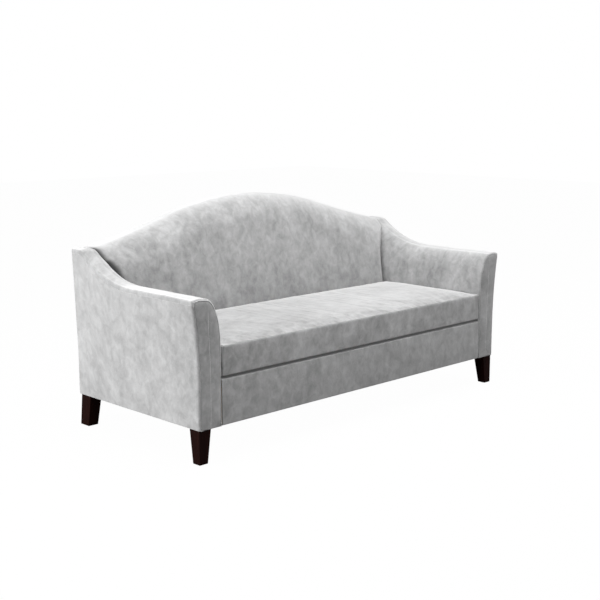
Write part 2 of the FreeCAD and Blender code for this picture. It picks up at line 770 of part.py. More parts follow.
for item in doc.Objects:
    if "Invalid" in item.State or "Error" in item.State:
        raise RuntimeError("%s failed: %s" % (item.Name, item.State))
os.makedirs("parts", exist_ok=True)
for node, item in parts.items():
    shape = item.Shape
    if shape.isNull() or not shape.isValid() or not shape.Solids:
        raise RuntimeError("%s has no valid solid" % node)
for node, item in parts.items():
    item.Shape.exportStep("parts/%s.step" % node)
    print("%-26s %3d solids %12.0f mm3" % (node, len(item.Shape.Solids), item.Shape.Volume))
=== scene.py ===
import bpy
import bmesh
import json
import math
import numpy as np
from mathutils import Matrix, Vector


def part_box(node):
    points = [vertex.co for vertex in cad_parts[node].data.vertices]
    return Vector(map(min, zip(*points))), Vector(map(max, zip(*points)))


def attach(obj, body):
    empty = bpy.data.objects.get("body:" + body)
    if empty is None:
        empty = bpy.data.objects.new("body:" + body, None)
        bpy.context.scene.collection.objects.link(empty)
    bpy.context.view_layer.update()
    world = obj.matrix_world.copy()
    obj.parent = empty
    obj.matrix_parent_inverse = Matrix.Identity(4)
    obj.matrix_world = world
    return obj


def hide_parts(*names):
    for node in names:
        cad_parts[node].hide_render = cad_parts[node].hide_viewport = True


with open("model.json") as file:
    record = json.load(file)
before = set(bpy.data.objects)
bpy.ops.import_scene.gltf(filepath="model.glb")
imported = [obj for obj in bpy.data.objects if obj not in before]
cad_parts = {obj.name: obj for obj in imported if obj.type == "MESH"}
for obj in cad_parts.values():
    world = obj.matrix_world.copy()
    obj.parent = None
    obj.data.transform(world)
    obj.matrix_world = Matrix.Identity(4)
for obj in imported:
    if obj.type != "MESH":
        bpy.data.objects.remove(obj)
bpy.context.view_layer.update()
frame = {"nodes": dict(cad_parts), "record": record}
print("frame loaded:", len(frame["nodes"]), "nodes")

railLow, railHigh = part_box("front_rail_cover")
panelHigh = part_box("arm_front_cover_right")[1]
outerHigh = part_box("outside_arm_cover_right")[1]
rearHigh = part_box("outside_back_cover")[1]
cushionLow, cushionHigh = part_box("cushion_cover")

# The planes that the upholstery meets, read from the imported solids.
body = {
    "frontY": railLow.y,
    "backY": rearHigh.y,
    "hemZ": railLow.z,
    "seatHalf": railHigh.x,
    "deckZ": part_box("deck_cover")[1].z,
    "armTop": panelHigh.z,
    "armTopRear": outerHigh.z,
    "baseHalf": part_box("dust_cover")[1].x + 0.002,
    "frontFlare": panelHigh.x,
    "rearFlare": rearHigh.x,
    "crestZ": rearHigh.z,
    "seatBackY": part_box("inside_back_cover")[0].y,
    "cushionCrown": 0.019,    # how far the cushion's top stands over its sewn edge
}
body["cushionEdgeZ"] = cushionHigh.z - body["cushionCrown"]

cloth = {
    "thickness": 0.0016,
    "foldRadius": 0.0022,     # how far a sewn edge turns in
    "hemRadius": 0.005,
    "hemTurn": 0.026,         # what is folded under the frame and stapled
    "rearSeamDepth": 0.0012,
}

materials = {}
nodeGroups = {}


# Meshes

def smoothStep(t):
    t = np.clip(t, 0, 1)
    return t * t * (3 - 2 * t)


# Places from 0 to length: evenly spaced, with a few more close to each end named, where an edge folds.
def spaced(length, step, start=True, end=True):
    close = np.array([0, 0.0004, 0.0010, 0.0018, 0.0028, 0.0040])
    low = close if start else np.array([0.0])
    high = length - close[::-1] if end else np.array([length])
    count = max(2, int(round((high[0] - low[-1]) / step)))
    return np.concatenate([low[:-1], np.linspace(low[-1], high[0], count + 1), high[1:]])


# The unit normal at each grid point: the cross product of the ways to the next row and the next column.
def gridNormals(points, flip):
    normal = np.cross(np.gradient(points, axis=0), np.gradient(points, axis=1))
    normal /= np.linalg.norm(normal, axis=2, keepdims=True) + 1e-12
    return -normal if flip else normal


# The length of cloth between each point and the border it starts from.
def distanceFrom(points, border):
    axis = 0 if border in ("firstRow", "lastRow") else 1
    steps = np.linalg.norm(np.diff(points, axis=axis), axis=2)
    first = np.zeros_like(points[:1, :, 0] if axis == 0 else points[:, :1, 0])
    along = np.concatenate([first, np.cumsum(steps, axis=axis)], axis=axis)
    if border == "lastRow":
        along = along[-1:, :] - along
    if border == "lastColumn":
        along = along[:, -1:] - along
    return along


# Turns the named borders inwards, as a sewn edge turns: a quarter ellipse, a fold radius wide and depth deep.
def foldEdges(points, flip, borders, depth):
    sink = np.zeros(points.shape[:2])
    for border in borders:
        t = np.clip(1 - distanceFrom(points, border) / cloth["foldRadius"], 0, 1)
        sink = np.maximum(sink, depth * (1 - np.sqrt(1 - t * t)))
    return points - gridNormals(points, flip) * sink[..., None]


# A gentle unevenness, from -1 to 1: a sum of plane waves of random direction and phase, about size long.
def ripple(points, size, seed, waves=14):
    chance = np.random.default_rng(seed)
    total = np.zeros(points.shape[:-1])
    for _ in range(waves):
        way = chance.normal(size=3)
        way *= 2 * math.pi / (size * chance.uniform(0.6, 1.8)) / np.linalg.norm(way)
        total += np.sin(points @ way + chance.uniform(0, 2 * math.pi))
    return total / math.sqrt(waves) / 1.6


def puff(points, flip, amount):
    return points + gridNormals(points, flip) * np.asarray(amount)[..., None]


# A grid of points as one mesh of quads. Its UV map is each point's place on the cloth, in metres.
def gridMesh(name, points, flip, uv=None):
    rows, cols = points.shape[:2]
    index = np.arange(rows * cols).reshape(rows, cols)
    quads = np.stack([index[:-1, :-1], index[1:, :-1], index[1:, 1:], index[:-1, 1:]], -1).reshape(-1, 4)
    if flip:
        quads = quads[:, ::-1]
    mesh = bpy.data.meshes.new(name)
    mesh.from_pydata(points.reshape(-1, 3), [], quads)
    mesh.polygons.foreach_set("use_smooth", np.ones(len(quads), bool))
    if uv is None:
        uv = np.stack([distanceFrom(points, "firstRow"), distanceFrom(points, "firstColumn")], -1)
    layer = mesh.uv_layers.new(name="cloth")
    corners = np.zeros(len(mesh.loops), np.int32)
    mesh.loops.foreach_get("vertex_index", corners)
    layer.data.foreach_set("uv", uv.reshape(-1, 2)[corners].astype(np.float32).ravel())
    mesh.update()
    return mesh


# Keeps how much painted shade each point gets, for the velvet.
def keepPaintedShade(mesh, amount):
    kept = mesh.attributes.new("paintedShade", "FLOAT", "POINT")
    kept.data.foreach_set("value", np.asarray(amount, np.float32).ravel())


def placed(name, data):
    item = bpy.data.objects.new(name, data)
    bpy.context.scene.collection.objects.link(item)
    return item


# One finished piece: its mesh, its material, the body it rides on and the solids that it stands for.
def piece(name, mesh, material, rides, nodes=(), thickness=0.0):
    item = placed(name, mesh)
    mesh.materials.clear()
    mesh.materials.append(material)
    if thickness:
        shell = item.modifiers.new("thickness", "SOLIDIFY")
        shell.thickness = thickness
        shell.offset = -1
        shell.use_rim = True
    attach(item, rides)
    if nodes:
        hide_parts(*nodes)
    return item


# A velvet cover on the sofa, which stands for the solids named.
def cover(name, mesh, *nodes):
    return piece(name, mesh, materials["velvet"], "sofa", nodes, cloth["thickness"])


# Several meshes as one, with what coincides merged.
def joinedMesh(name, meshes, merge=1e-5):
    bm = bmesh.new()
    for mesh in meshes:
        bm.from_mesh(mesh)
    bmesh.ops.remove_doubles(bm, verts=bm.verts, dist=merge)
    bmesh.ops.recalc_face_normals(bm, faces=bm.faces)
    for mesh in meshes:
        bpy.data.meshes.remove(mesh)
    mesh = bpy.data.meshes.new(name)
    bm.to_mesh(mesh)
    bm.free()
    return mesh


# Materials

def node(tree, kind, label=None, **values):
    item = tree.nodes.new(kind)
    for key, value in values.items():
        setattr(item, key, value)
    if label:
        item.label = label
    return item


# Sets a node's inputs: a number or a colour as it is, another node's output as a link.
def feed(tree, item, values):
    for name, value in values.items():
        if isinstance(value, bpy.types.NodeSocket):
            tree.links.new(value, item.inputs[name])
        else:
            item.inputs[name].default_value = value


def noise(tree, vector, scale, detail=3, roughness=0.5, distortion=0.0):
    item = node(tree, "ShaderNodeTexNoise")
    feed(tree, item, {"Vector": vector, "Scale": scale, "Detail": detail, "Roughness": roughness,
                      "Distortion": distortion})
    return item.outputs["Fac"]


def mapping(tree, vector, scale):
    item = node(tree, "ShaderNodeMapping")
    feed(tree, item, {"Vector": vector, "Scale": scale})
    return item.outputs["Vector"]


def calc(tree, how, *values, clamp=False):
    item = node(tree, "ShaderNodeMath", operation=how, use_clamp=clamp)
    feed(tree, item, dict(enumerate(values)))
    return item.outputs[0]


def remap(tree, value, low, high, newLow, newHigh):
    item = node(tree, "ShaderNodeMapRange")
    feed(tree, item, {"Value": value, "From Min": low, "From Max": high, "To Min": newLow, "To Max": newHigh})
    return item.outputs["Result"]


def mixColour(tree, factor, first, second):
    item = node(tree, "ShaderNodeMix", data_type="RGBA")
    first, second = ((*value, 1) if isinstance(value, tuple) else value for value in (first, second))
    feed(tree, item, {"Factor": factor, 6: first, 7: second})
    return item.outputs[2]


# A node group, made once. Its inputs are a vector and the numbers named, its outputs are numbers.
def newGroup(name, inputs, outputs):
    group = bpy.data.node_groups.new(name, "ShaderNodeTree")
    group.interface.new_socket(name="Vector", in_out="INPUT", socket_type="NodeSocketVector")
    for word, value in inputs.items():
        socket = group.interface.new_socket(name=word, in_out="INPUT", socket_type="NodeSocketFloat")
        socket.default_value = value
    for word in outputs:
        group.interface.new_socket(name=word, in_out="OUTPUT", socket_type="NodeSocketFloat")
    nodeGroups[name] = group
    return group, group.nodes.new("NodeGroupInput").outputs, group.nodes.new("NodeGroupOutput")


# Crushed pile: broad clouds, patches where it lies another way and a fine crush inside them, all drawn out a
# little along the cloth's second direction, with faint lines left by the loom.
def crushedPileGroup():
    group, given, result = newGroup("crushedPile", {"Cloud size": 9.0, "Patch size": 36.0, "Contrast": 1.0},
                                    ("Shade", "Height", "Rough"))
    drawn = mapping(group, given["Vector"], (1.0, 0.8, 1.0))
    cloud = noise(group, drawn, given["Cloud size"], 2, 0.5, 0.4)
    patch = noise(group, drawn, given["Patch size"], 3, 0.55, 0.5)
    crush = noise(group, drawn, calc(group, "MULTIPLY", given["Patch size"], 3.6), 3, 0.6, 0.4)
    streak = noise(group, mapping(group, given["Vector"], (1.0, 0.2, 1.0)), 60, 2, 0.5)
    fibre = noise(group, given["Vector"], 1100, 2, 0.6)
    broad = remap(group, cloud, 0.30, 0.70, -0.5, 0.5)
    middle = remap(group, patch, 0.30, 0.70, -0.5, 0.5)
    small = remap(group, crush, 0.28, 0.72, -0.5, 0.5)
    lines = remap(group, streak, 0.30, 0.70, -0.5, 0.5)
    total = calc(group, "MULTIPLY_ADD", broad, 0.50, calc(group, "MULTIPLY", middle, 0.55))
    total = calc(group, "MULTIPLY_ADD", small, 0.20, total)
    total = calc(group, "MULTIPLY_ADD", lines, 0.07, total)
    total = calc(group, "MULTIPLY", total, given["Contrast"])
    height = calc(group, "MULTIPLY_ADD", middle, 0.9, calc(group, "MULTIPLY", fibre, 0.22))
    feed(group, result, {"Shade": calc(group, "ADD", total, 0.5, clamp=True),
                         "Height": calc(group, "MULTIPLY_ADD", small, 0.30, height),
                         "Rough": calc(group, "MULTIPLY_ADD", middle, -0.14, 0.82)})


# Plain weave: two crossed sets of threads, raised by turns, with uneven thickness.
def plainWeaveGroup():
    group, given, result = newGroup("plainWeave", {"Threads": 1200.0}, ("Height", "Wear"))
    scaled = node(group, "ShaderNodeVectorMath", operation="SCALE")
    feed(group, scaled, {0: given["Vector"], "Scale": given["Threads"]})
    parts = node(group, "ShaderNodeSeparateXYZ")
    feed(group, parts, {0: scaled.outputs[0]})
    wobble = noise(group, given["Vector"], 60, 2)
    across, along, up = (calc(group, "SINE", calc(group, "MULTIPLY_ADD", wobble, bend, parts.outputs[axis]))
                         for axis, bend in (("X", 3.0), ("Y", -3.0), ("Z", 3.0)))
    cross = calc(group, "MULTIPLY", across, along)
    total = calc(group, "ADD", cross, calc(group, "MULTIPLY", calc(group, "MULTIPLY", along, up), 0.6))
    feed(group, result, {"Height": remap(group, total, -1.6, 1.6, 0, 1),
                         "Wear": remap(group, noise(group, given["Vector"], 25, 4), 0.3, 0.7, 0, 1)})


# Wood: growth lines drawn out along one axis, with pores and a slow change of tone.
def woodGrainGroup():
    group, given, result = newGroup("woodGrain", {"Lines": 90.0}, ("Grain", "Pores", "Tone"))
    ring = noise(group, mapping(group, given["Vector"], (1.0, 1.0, 0.06)), given["Lines"], 3, 0.5, 0.8)
    bend = noise(group, mapping(group, given["Vector"], (1.0, 1.0, 0.25)), 9, 2)
    pores = noise(group, mapping(group, given["Vector"], (1.0, 1.0, 0.05)), 900, 1)
    feed(group, result, {"Grain": remap(group, ring, 0.3, 0.7, 0, 1),
                         "Pores": remap(group, pores, 0.55, 0.75, 0, 1), "Tone": bend})


# Fine scratches and smudges of handled metal and plastic.
def handledGroup():
    group, given, result = newGroup("handled", {"Size": 120.0}, ("Smudge", "Scratch"))
    smudge = noise(group, given["Vector"], given["Size"], 4)
    scratch = noise(group, mapping(group, given["Vector"], (1.0, 0.08, 1.0)), 2500, 1)
    feed(group, result, {"Smudge": remap(group, smudge, 0.3, 0.7, 0, 1),
                         "Scratch": remap(group, scratch, 0.35, 0.65, 0, 1)})


# A new material: its tree, its shader and the coordinates that its pattern follows.
def newMaterial(name, follows="Object"):
    item = bpy.data.materials.new(name)
    item.use_nodes = True
    materials[name] = item
    tree = item.node_tree
    return tree, tree.nodes["Principled BSDF"], node(tree, "ShaderNodeTexCoord").outputs[follows]


def groupNode(tree, name, vector, **values):
    item = node(tree, "ShaderNodeGroup", name)
    item.node_tree = nodeGroups[name]
    feed(tree, item, {"Vector": vector, **values})
    return item.outputs


def bump(tree, shader, height, strength, distance):
    item = node(tree, "ShaderNodeBump")
    feed(tree, item, {"Height": height, "Strength": strength, "Distance": distance})
    feed(tree, shader, {"Normal": item.outputs["Normal"]})


velvet = {
    "dark": (0.250, 0.250, 0.251),
    "light": (0.590, 0.591, 0.593),
    "paintedSheen": (0.950, 0.952, 0.955),  # painted sheen: the colour the velvet turns to where it is seen along the cloth
    "sheen": 1.0,
    "sheenRoughness": 0.35,
    "specular": 0.18,
    "bump": 0.45,
    "bumpDepth": 0.0016,
    "seamStart": 0.0004,
    "seamWidth": 0.0024,
    "seamShade": 0.45,
    "seamDepth": 1.6,
    # painted shade: the near black that shaded places are darkened towards
    "paintedShade": (0.03, 0.03, 0.03),
    "paintedShadeStrength": 0.88,
}


# How many crushed marks there are to a metre, how strong they are, how light the pile is, and how much
# painted sheen lightens it where it is seen along the cloth.
velvets = {
    "velvet": {"cloud": 8.0, "patch": 32.0, "contrast": 0.80, "tone": 1.0,
               "paintedSheenPower": 2.2, "paintedSheenShare": 1.0, "seams": False},
    "velvetCushion": {"cloud": 7.0, "patch": 28.0, "contrast": 0.85, "tone": 1.15,
                      "paintedSheenPower": 10.0, "paintedSheenShare": 1.9, "seams": True},
}


# Velvet follows the UV map on a sewn panel. With seams, a stitched line runs where the mesh's own seam
# distance is nought. Where the mesh asks for painted shade, the colour is darkened towards near black and
# the painted sheen is taken away.
def makeVelvet(name):
    look = velvets[name]
    tree, shader, place = newMaterial(name, "UV")
    pile = groupNode(tree, "crushedPile", place, **{"Cloud size": look["cloud"], "Patch size": look["patch"],
                                                    "Contrast": look["contrast"]})
    dark, light = (tuple(look["tone"] * v for v in velvet[word]) for word in ("dark", "light"))
    colour = mixColour(tree, pile["Shade"], dark, light)
    # Painted sheen: the colour lightens towards near white where the cloth is seen edge-on, and less where
    # painted shade lies.
    facing = node(tree, "ShaderNodeLayerWeight")
    facing.inputs["Blend"].default_value = 0.5
    paintedShade = node(tree, "ShaderNodeAttribute", attribute_name="paintedShade").outputs["Fac"]
    paintedSheenWeight = calc(tree, "MULTIPLY_ADD", paintedShade, -look["paintedSheenShare"], look["paintedSheenShare"])
    glancing = calc(tree, "POWER", facing.outputs["Facing"], look["paintedSheenPower"])
    colour = mixColour(tree, calc(tree, "MULTIPLY", glancing, paintedSheenWeight), colour, velvet["paintedSheen"])
    # Painted shade: the colour darkens towards near black where the mesh asks for it.
    flat = calc(tree, "MULTIPLY", paintedShade, velvet["paintedShadeStrength"])
    colour = mixColour(tree, flat, colour, velvet["paintedShade"])
    height = pile["Height"]
    if look["seams"]:
        away = node(tree, "ShaderNodeAttribute", attribute_name="seamDistance").outputs["Fac"]
        stitched = remap(tree, away, velvet["seamStart"], velvet["seamWidth"], 1, 0)
        sewn = calc(tree, "MULTIPLY", stitched, velvet["seamShade"])
        colour = mixColour(tree, sewn, colour, velvet["dark"])
        height = calc(tree, "MULTIPLY_ADD", stitched, -velvet["seamDepth"], height)
    feed(tree, shader, {"Base Color": colour, "Roughness": pile["Rough"], "Sheen Weight": velvet["sheen"],
                        "Sheen Roughness": velvet["sheenRoughness"],
                        "Specular IOR Level": velvet["specular"]})
    bump(tree, shader, height, velvet["bump"], velvet["bumpDepth"])


woods = {
    "legWood": {"dark": (0.0070, 0.0013, 0.0008), "light": (0.0190, 0.0036, 0.0022), "rough": (0.38, 0.50),
                "lines": 120, "specular": 0.09},
    "frameWood": {"dark": (0.42, 0.27, 0.14), "light": (0.66, 0.48, 0.29), "rough": (0.55, 0.7),
                  "lines": 90, "specular": 0.4},
    "plywood": {"dark": (0.50, 0.35, 0.19), "light": (0.72, 0.55, 0.34), "rough": (0.5, 0.65),
                "lines": 60, "specular": 0.4},
}


def makeWood(name):
    look = woods[name]
    tree, shader, place = newMaterial(name)
    grain = groupNode(tree, "woodGrain", place, Lines=look["lines"])
    tone = mixColour(tree, grain["Grain"], look["dark"], look["light"])
    feed(tree, shader, {"Base Color": mixColour(tree, grain["Pores"], tone, look["dark"]),
                        "Roughness": remap(tree, grain["Tone"], 0.3, 0.7, *look["rough"]),
                        "Specular IOR Level": look["specular"]})
    height = calc(tree, "MULTIPLY_ADD", grain["Pores"], -0.6, grain["Grain"])
    bump(tree, shader, height, 0.25, 0.0004)


weaves = {
    "burlap": {"dark": (0.26, 0.18, 0.10), "light": (0.55, 0.42, 0.26), "threads": 2600, "rough": 0.9},
    "decking": {"dark": (0.36, 0.35, 0.33), "light": (0.50, 0.49, 0.47), "threads": 5200, "rough": 0.85},
    "webbing": {"dark": (0.015, 0.015, 0.017), "light": (0.07, 0.07, 0.075), "threads": 2400, "rough": 0.75},
    "dustCloth": {"dark": (0.006, 0.006, 0.006), "light": (0.03, 0.03, 0.03), "threads": 3600, "rough": 0.95},
}


def makeWeave(name):
    look = weaves[name]
    tree, shader, place = newMaterial(name)
    threads = groupNode(tree, "plainWeave", place, Threads=look["threads"])
    tone = mixColour(tree, threads["Height"], look["dark"], look["light"])
    worn = calc(tree, "MULTIPLY", threads["Wear"], 0.25)
    feed(tree, shader, {"Base Color": mixColour(tree, worn, tone, look["light"]),
                        "Roughness": look["rough"], "Specular IOR Level": 0.2})
    bump(tree, shader, threads["Height"], 0.6, 0.0006)


# Dark and light tones, how rough it is, and whether it is a metal.
hard = {
    "springSteel": ((0.10, 0.10, 0.11), (0.30, 0.30, 0.31), (0.28, 0.5), 1.0),
    "zincSteel": ((0.48, 0.48, 0.46), (0.66, 0.66, 0.63), (0.22, 0.42), 1.0),
    "zipNylon": ((0.44, 0.445, 0.45), (0.58, 0.585, 0.59), (0.35, 0.5), 0.0),
    "glideNylon": ((0.035, 0.02, 0.014), (0.09, 0.055, 0.038), (0.4, 0.6), 0.0),
}


def makeHard(name):
    dark, light, rough, metal = hard[name]
    tree, shader, place = newMaterial(name)
    marks = groupNode(tree, "handled", place)
    feed(tree, shader, {"Base Color": mixColour(tree, marks["Smudge"], dark, light),
                        "Roughness": remap(tree, marks["Smudge"], 0, 1, *rough), "Metallic": metal})
    bump(tree, shader, marks["Scratch"], 0.15, 0.0001)


def makeFoam():
    tree, shader, place = newMaterial("foam")
    cells = noise(tree, place, 700, 3, 0.7)
    cloud = noise(tree, place, 6, 2)
    tone = mixColour(tree, remap(tree, cloud, 0.35, 0.65, 0, 1), (0.80, 0.75, 0.58), (0.88, 0.84, 0.70))
    holes = remap(tree, cells, 0.55, 0.8, 0, 0.5)
    feed(tree, shader, {"Base Color": mixColour(tree, holes, tone, (0.55, 0.50, 0.36)), "Roughness": 0.95})
    bump(tree, shader, cells, 0.7, 0.0012)


crushedPileGroup()
plainWeaveGroup()
woodGrainGroup()
handledGroup()
for name in velvets:
    makeVelvet(name)
for name in woods:
    makeWood(name)
for name in weaves:
    makeWeave(name)
for name in hard:
    makeHard(name)
makeFoam()
print("materials ready:", len(materials))


# Arms

arm = {
    "sweepStart": 0.409,      # from the back plane forward to where the top begins to rise
    "hollowRadius": 0.504,
    "roundRadius": 0.067,
    "shoulderWidth": 0.0765,
    "shoulderHeight": 0.190,
    "flareHeight": 0.330,
    "flareSlack": 0.45,
    "corner": 0.0075,
    "dome": 0.004,
    "frontRadius": 0.009,     # soft front edge, over the front board
    "rim": 0.0110,            # width of the cover that shows round the front panel
    "rearRadius": 0.006,
    "rearRim": 0.009,
    "bulge": 0.0035,
    "panelBulge": 0.0035,
    "seamDrop": 0.012,        # the outside panel starts this far below the top's edge
    "frontSeamDepth": 0.0004,
    "sideSeamDepth": 0.0006,
    "panelSeamLoss": 0.0002,  # how much shallower the front panel's seam is at the outer edge
    "panelStand": 0.0003,
    "spineLean": 0.35,        # the front panel's spine leans with the flare, by this share of it
    "spineDrop": 0.052,       # and ends this far below the arm's top
    "innerRipple": 0.0009,
    "outerRipple": 0.0011,
}


# The height of the arm's top at each y: level, a hollow arc, a round arc, level.
def armTop(y):
    rise = body["armTopRear"] - body["armTop"]
    hollow, rounded = arm["hollowRadius"], arm["roundRadius"]
    turn = math.acos(1 - rise / (hollow + rounded))
    reach = (hollow + rounded) * math.sin(turn)
    run = np.clip(y - (body["backY"] - arm["sweepStart"]), 0, reach)
    lower = hollow - np.sqrt(np.maximum(hollow ** 2 - run ** 2, 0))
    upper = rise - rounded + np.sqrt(np.maximum(rounded ** 2 - (reach - run) ** 2, 0))
    return body["armTop"] + np.where(run < hollow * math.sin(turn), lower, upper)


# The x of the arm's inner face at each y and z: plumb up to the shoulder, then a quarter ellipse.
def armInner(y, z):
    centre = armTop(y) - arm["shoulderHeight"]
    t = np.clip((z - centre) / arm["shoulderHeight"], 0, 1)
    return body["seatHalf"] + arm["shoulderWidth"] * (1 - np.sqrt(1 - t * t))


def armFlare(y):
    share = np.clip((y - body["frontY"]) / (body["backY"] - body["frontY"]), 0, 1)
    return body["frontFlare"] + (body["rearFlare"] - body["frontFlare"]) * share


# The arm's inner cross-section at each y, shrunk by inset: up the inner wall, a quarter ellipse over the
# shoulder, along the domed top, round the outer corner and down to the seam. Columns run that way.
def insideArmGrid(y, inset, foot):
    y, inset, foot = (np.asarray(v, float)[:, None] for v in (y, inset, foot))
    top = armTop(y) - inset
    centreX = body["seatHalf"] + arm["shoulderWidth"]
    centreZ = armTop(y) - arm["shoulderHeight"]
    edge = armFlare(y) - inset
    corner = np.maximum(arm["corner"] - inset, 0.003)
    wall = np.linspace(0, 1, 26)[None, :-1]
    turn = np.linspace(0, math.pi / 2, 30)[None, :-1]
    flat = np.linspace(0, 1, 16)[None, :-1]
    bend = np.linspace(0, math.pi / 2, 8)[None, :-1]
    fall = spaced(arm["seamDrop"], 0.003, start=False)[None, :]
    rounded = arm["shoulderWidth"] - inset
    x = [centreX - rounded + 0 * wall,
         centreX - rounded * np.cos(turn),
         centreX + (edge - corner - centreX) * flat,
         edge - corner + corner * np.sin(bend),
         edge + 0 * fall]
    z = [foot + (centreZ - foot) * wall,
         centreZ + (arm["shoulderHeight"] - inset) * np.sin(turn),
         top + arm["dome"] * (1 - (2 * flat - 1) ** 2) ** 2,
         top - corner + corner * np.cos(bend),
         top - corner - fall]
    x, z = np.concatenate(x, 1), np.concatenate(z, 1)
    return np.stack([x, y + 0 * x, z], -1)


# The outside panel at each y, shrunk by inset: from the seam down a drawn-in curve to the knee, straight to
# the hem and under the frame.
def outsideArmGrid(y, inset):
    y, inset = (np.asarray(v, float)[:, None] for v in (y, inset))
    start = armTop(y) - inset - np.maximum(arm["corner"] - inset, 0.003) - arm["seamDrop"]
    edge = armFlare(y) - inset
    outer = body["baseHalf"] - inset
    share = np.clip((y - body["frontY"]) / (body["backY"] - body["frontY"]), 0, 1)
    pull = outer + (armFlare(y) - body["baseHalf"]) * arm["flareSlack"] * share
    knee, hem, radius = arm["flareHeight"], body["hemZ"], cloth["hemRadius"]
    curve = spaced(start.max() - knee, 0.010, end=False)[None, :-1] / (start.max() - knee)
    drop = np.linspace(0, 1, 20)[None, :-1]
    turn = np.linspace(0, math.pi / 2, 6)[None, :-1]
    under = np.linspace(0, cloth["hemTurn"], 5)[None, :]
    x = [edge * (1 - curve) ** 2 + 2 * pull * curve * (1 - curve) + outer * curve ** 2,
         outer + 0 * drop,
         outer - radius * (1 - np.cos(turn)),
         outer - radius - under]
    z = [start * (1 - curve) ** 2 + (start + knee) * curve * (1 - curve) + knee * curve ** 2,
         knee + (hem + radius - knee) * drop,
         hem + radius * (1 - np.sin(turn)),
         hem + 0 * under]
    x = np.concatenate([a + 0 * y for a in x], 1)
    z = np.concatenate([a + 0 * y for a in z], 1)
    return np.stack([x, y + 0 * x, z], -1)


# The rows of an arm's cover: round the front edge from the seam, along the arm, and round the rear edge.
def armRows(frontRim, frontRadius, rearRim, rearRadius):
    front, back = body["frontY"], body["backY"]
    flatFront = spaced(frontRim - frontRadius, 0.002, end=False)[:-1]
    turnFront = np.linspace(0, math.pi / 2, 9)[:-1]
    along = np.linspace(front + frontRadius, back - rearRadius, 96)[:-1]
    turnBack = np.linspace(0, math.pi / 2, 7)
    flatBack = spaced(rearRim - rearRadius, 0.002, start=False)[1:]
    y = np.concatenate([front + 0 * flatFront, front + frontRadius * (1 - np.cos(turnFront)), along,
                        back - rearRadius * (1 - np.sin(turnBack)), back + 0 * flatBack])
    inset = np.concatenate([frontRim - flatFront, frontRadius * (1 - np.sin(turnFront)), 0 * along,
                            rearRadius * (1 - np.cos(turnBack)), rearRadius + flatBack])
    return y, inset


def mirroredTo(points, side):
    return points * np.array([side, 1, 1])


# How much a panel is filled out between its borders: nothing at the edges, all of it from reach inwards.
def filled(points, borders, reach):
    share = np.ones(points.shape[:2])
    for border in borders:
        share *= smoothStep(distanceFrom(points, border) / reach)
    return share


def makeArm(word, side):
    flip = side > 0
    y, inset = armRows(arm["rim"], arm["frontRadius"], arm["rearRim"], arm["rearRadius"])
    # Behind the front edge the inner wall only reaches down into the gap beside the seat deck.
    ramp = smoothStep((y - body["frontY"] - 0.030) / 0.040)
    foot = body["hemZ"] + (body["deckZ"] - 0.028 - body["hemZ"]) * ramp
    inner = insideArmGrid(y, inset, foot)
    share = filled(inner, ("firstRow", "lastRow"), 0.05)
    inner = puff(inner, True, arm["innerRipple"] * ripple(inner, 0.16, 21 + side) * share)
    inner = foldEdges(inner, True, ("firstRow",), depth=arm["frontSeamDepth"])
    inner = foldEdges(inner, True, ("lastColumn",), depth=arm["sideSeamDepth"])
    inner = foldEdges(inner, True, ("lastRow",), depth=cloth["rearSeamDepth"])
    uv = np.stack([distanceFrom(inner, "firstRow"), distanceFrom(inner, "firstColumn") + inner[:, :1, 2]], -1)
    inside = cover("insideArm" + word, gridMesh("insideArm" + word, mirroredTo(inner, side), flip, uv),
                   "inside_arm_cover_" + word.lower(), "arm_padding_" + word.lower())

    outer = outsideArmGrid(y, inset)
    share = filled(outer, ("firstRow", "lastRow", "firstColumn"), 0.09)
    share *= smoothStep((outer[..., 2] - body["hemZ"] - 0.004) / 0.09)
    uneven = arm["outerRipple"] * ripple(outer, 0.2, 31 + side)
    outer = puff(outer, True, arm["bulge"] * share + uneven * share)
    outer = foldEdges(outer, True, ("firstRow", "firstColumn"), depth=arm["sideSeamDepth"])
    outer = foldEdges(outer, True, ("lastRow",), depth=cloth["rearSeamDepth"])
    outside = cover("outsideArm" + word, gridMesh("outsideArm" + word, mirroredTo(outer, side), flip),
                    "outside_arm_cover_" + word.lower())
    makeFrontPanel(word, side)


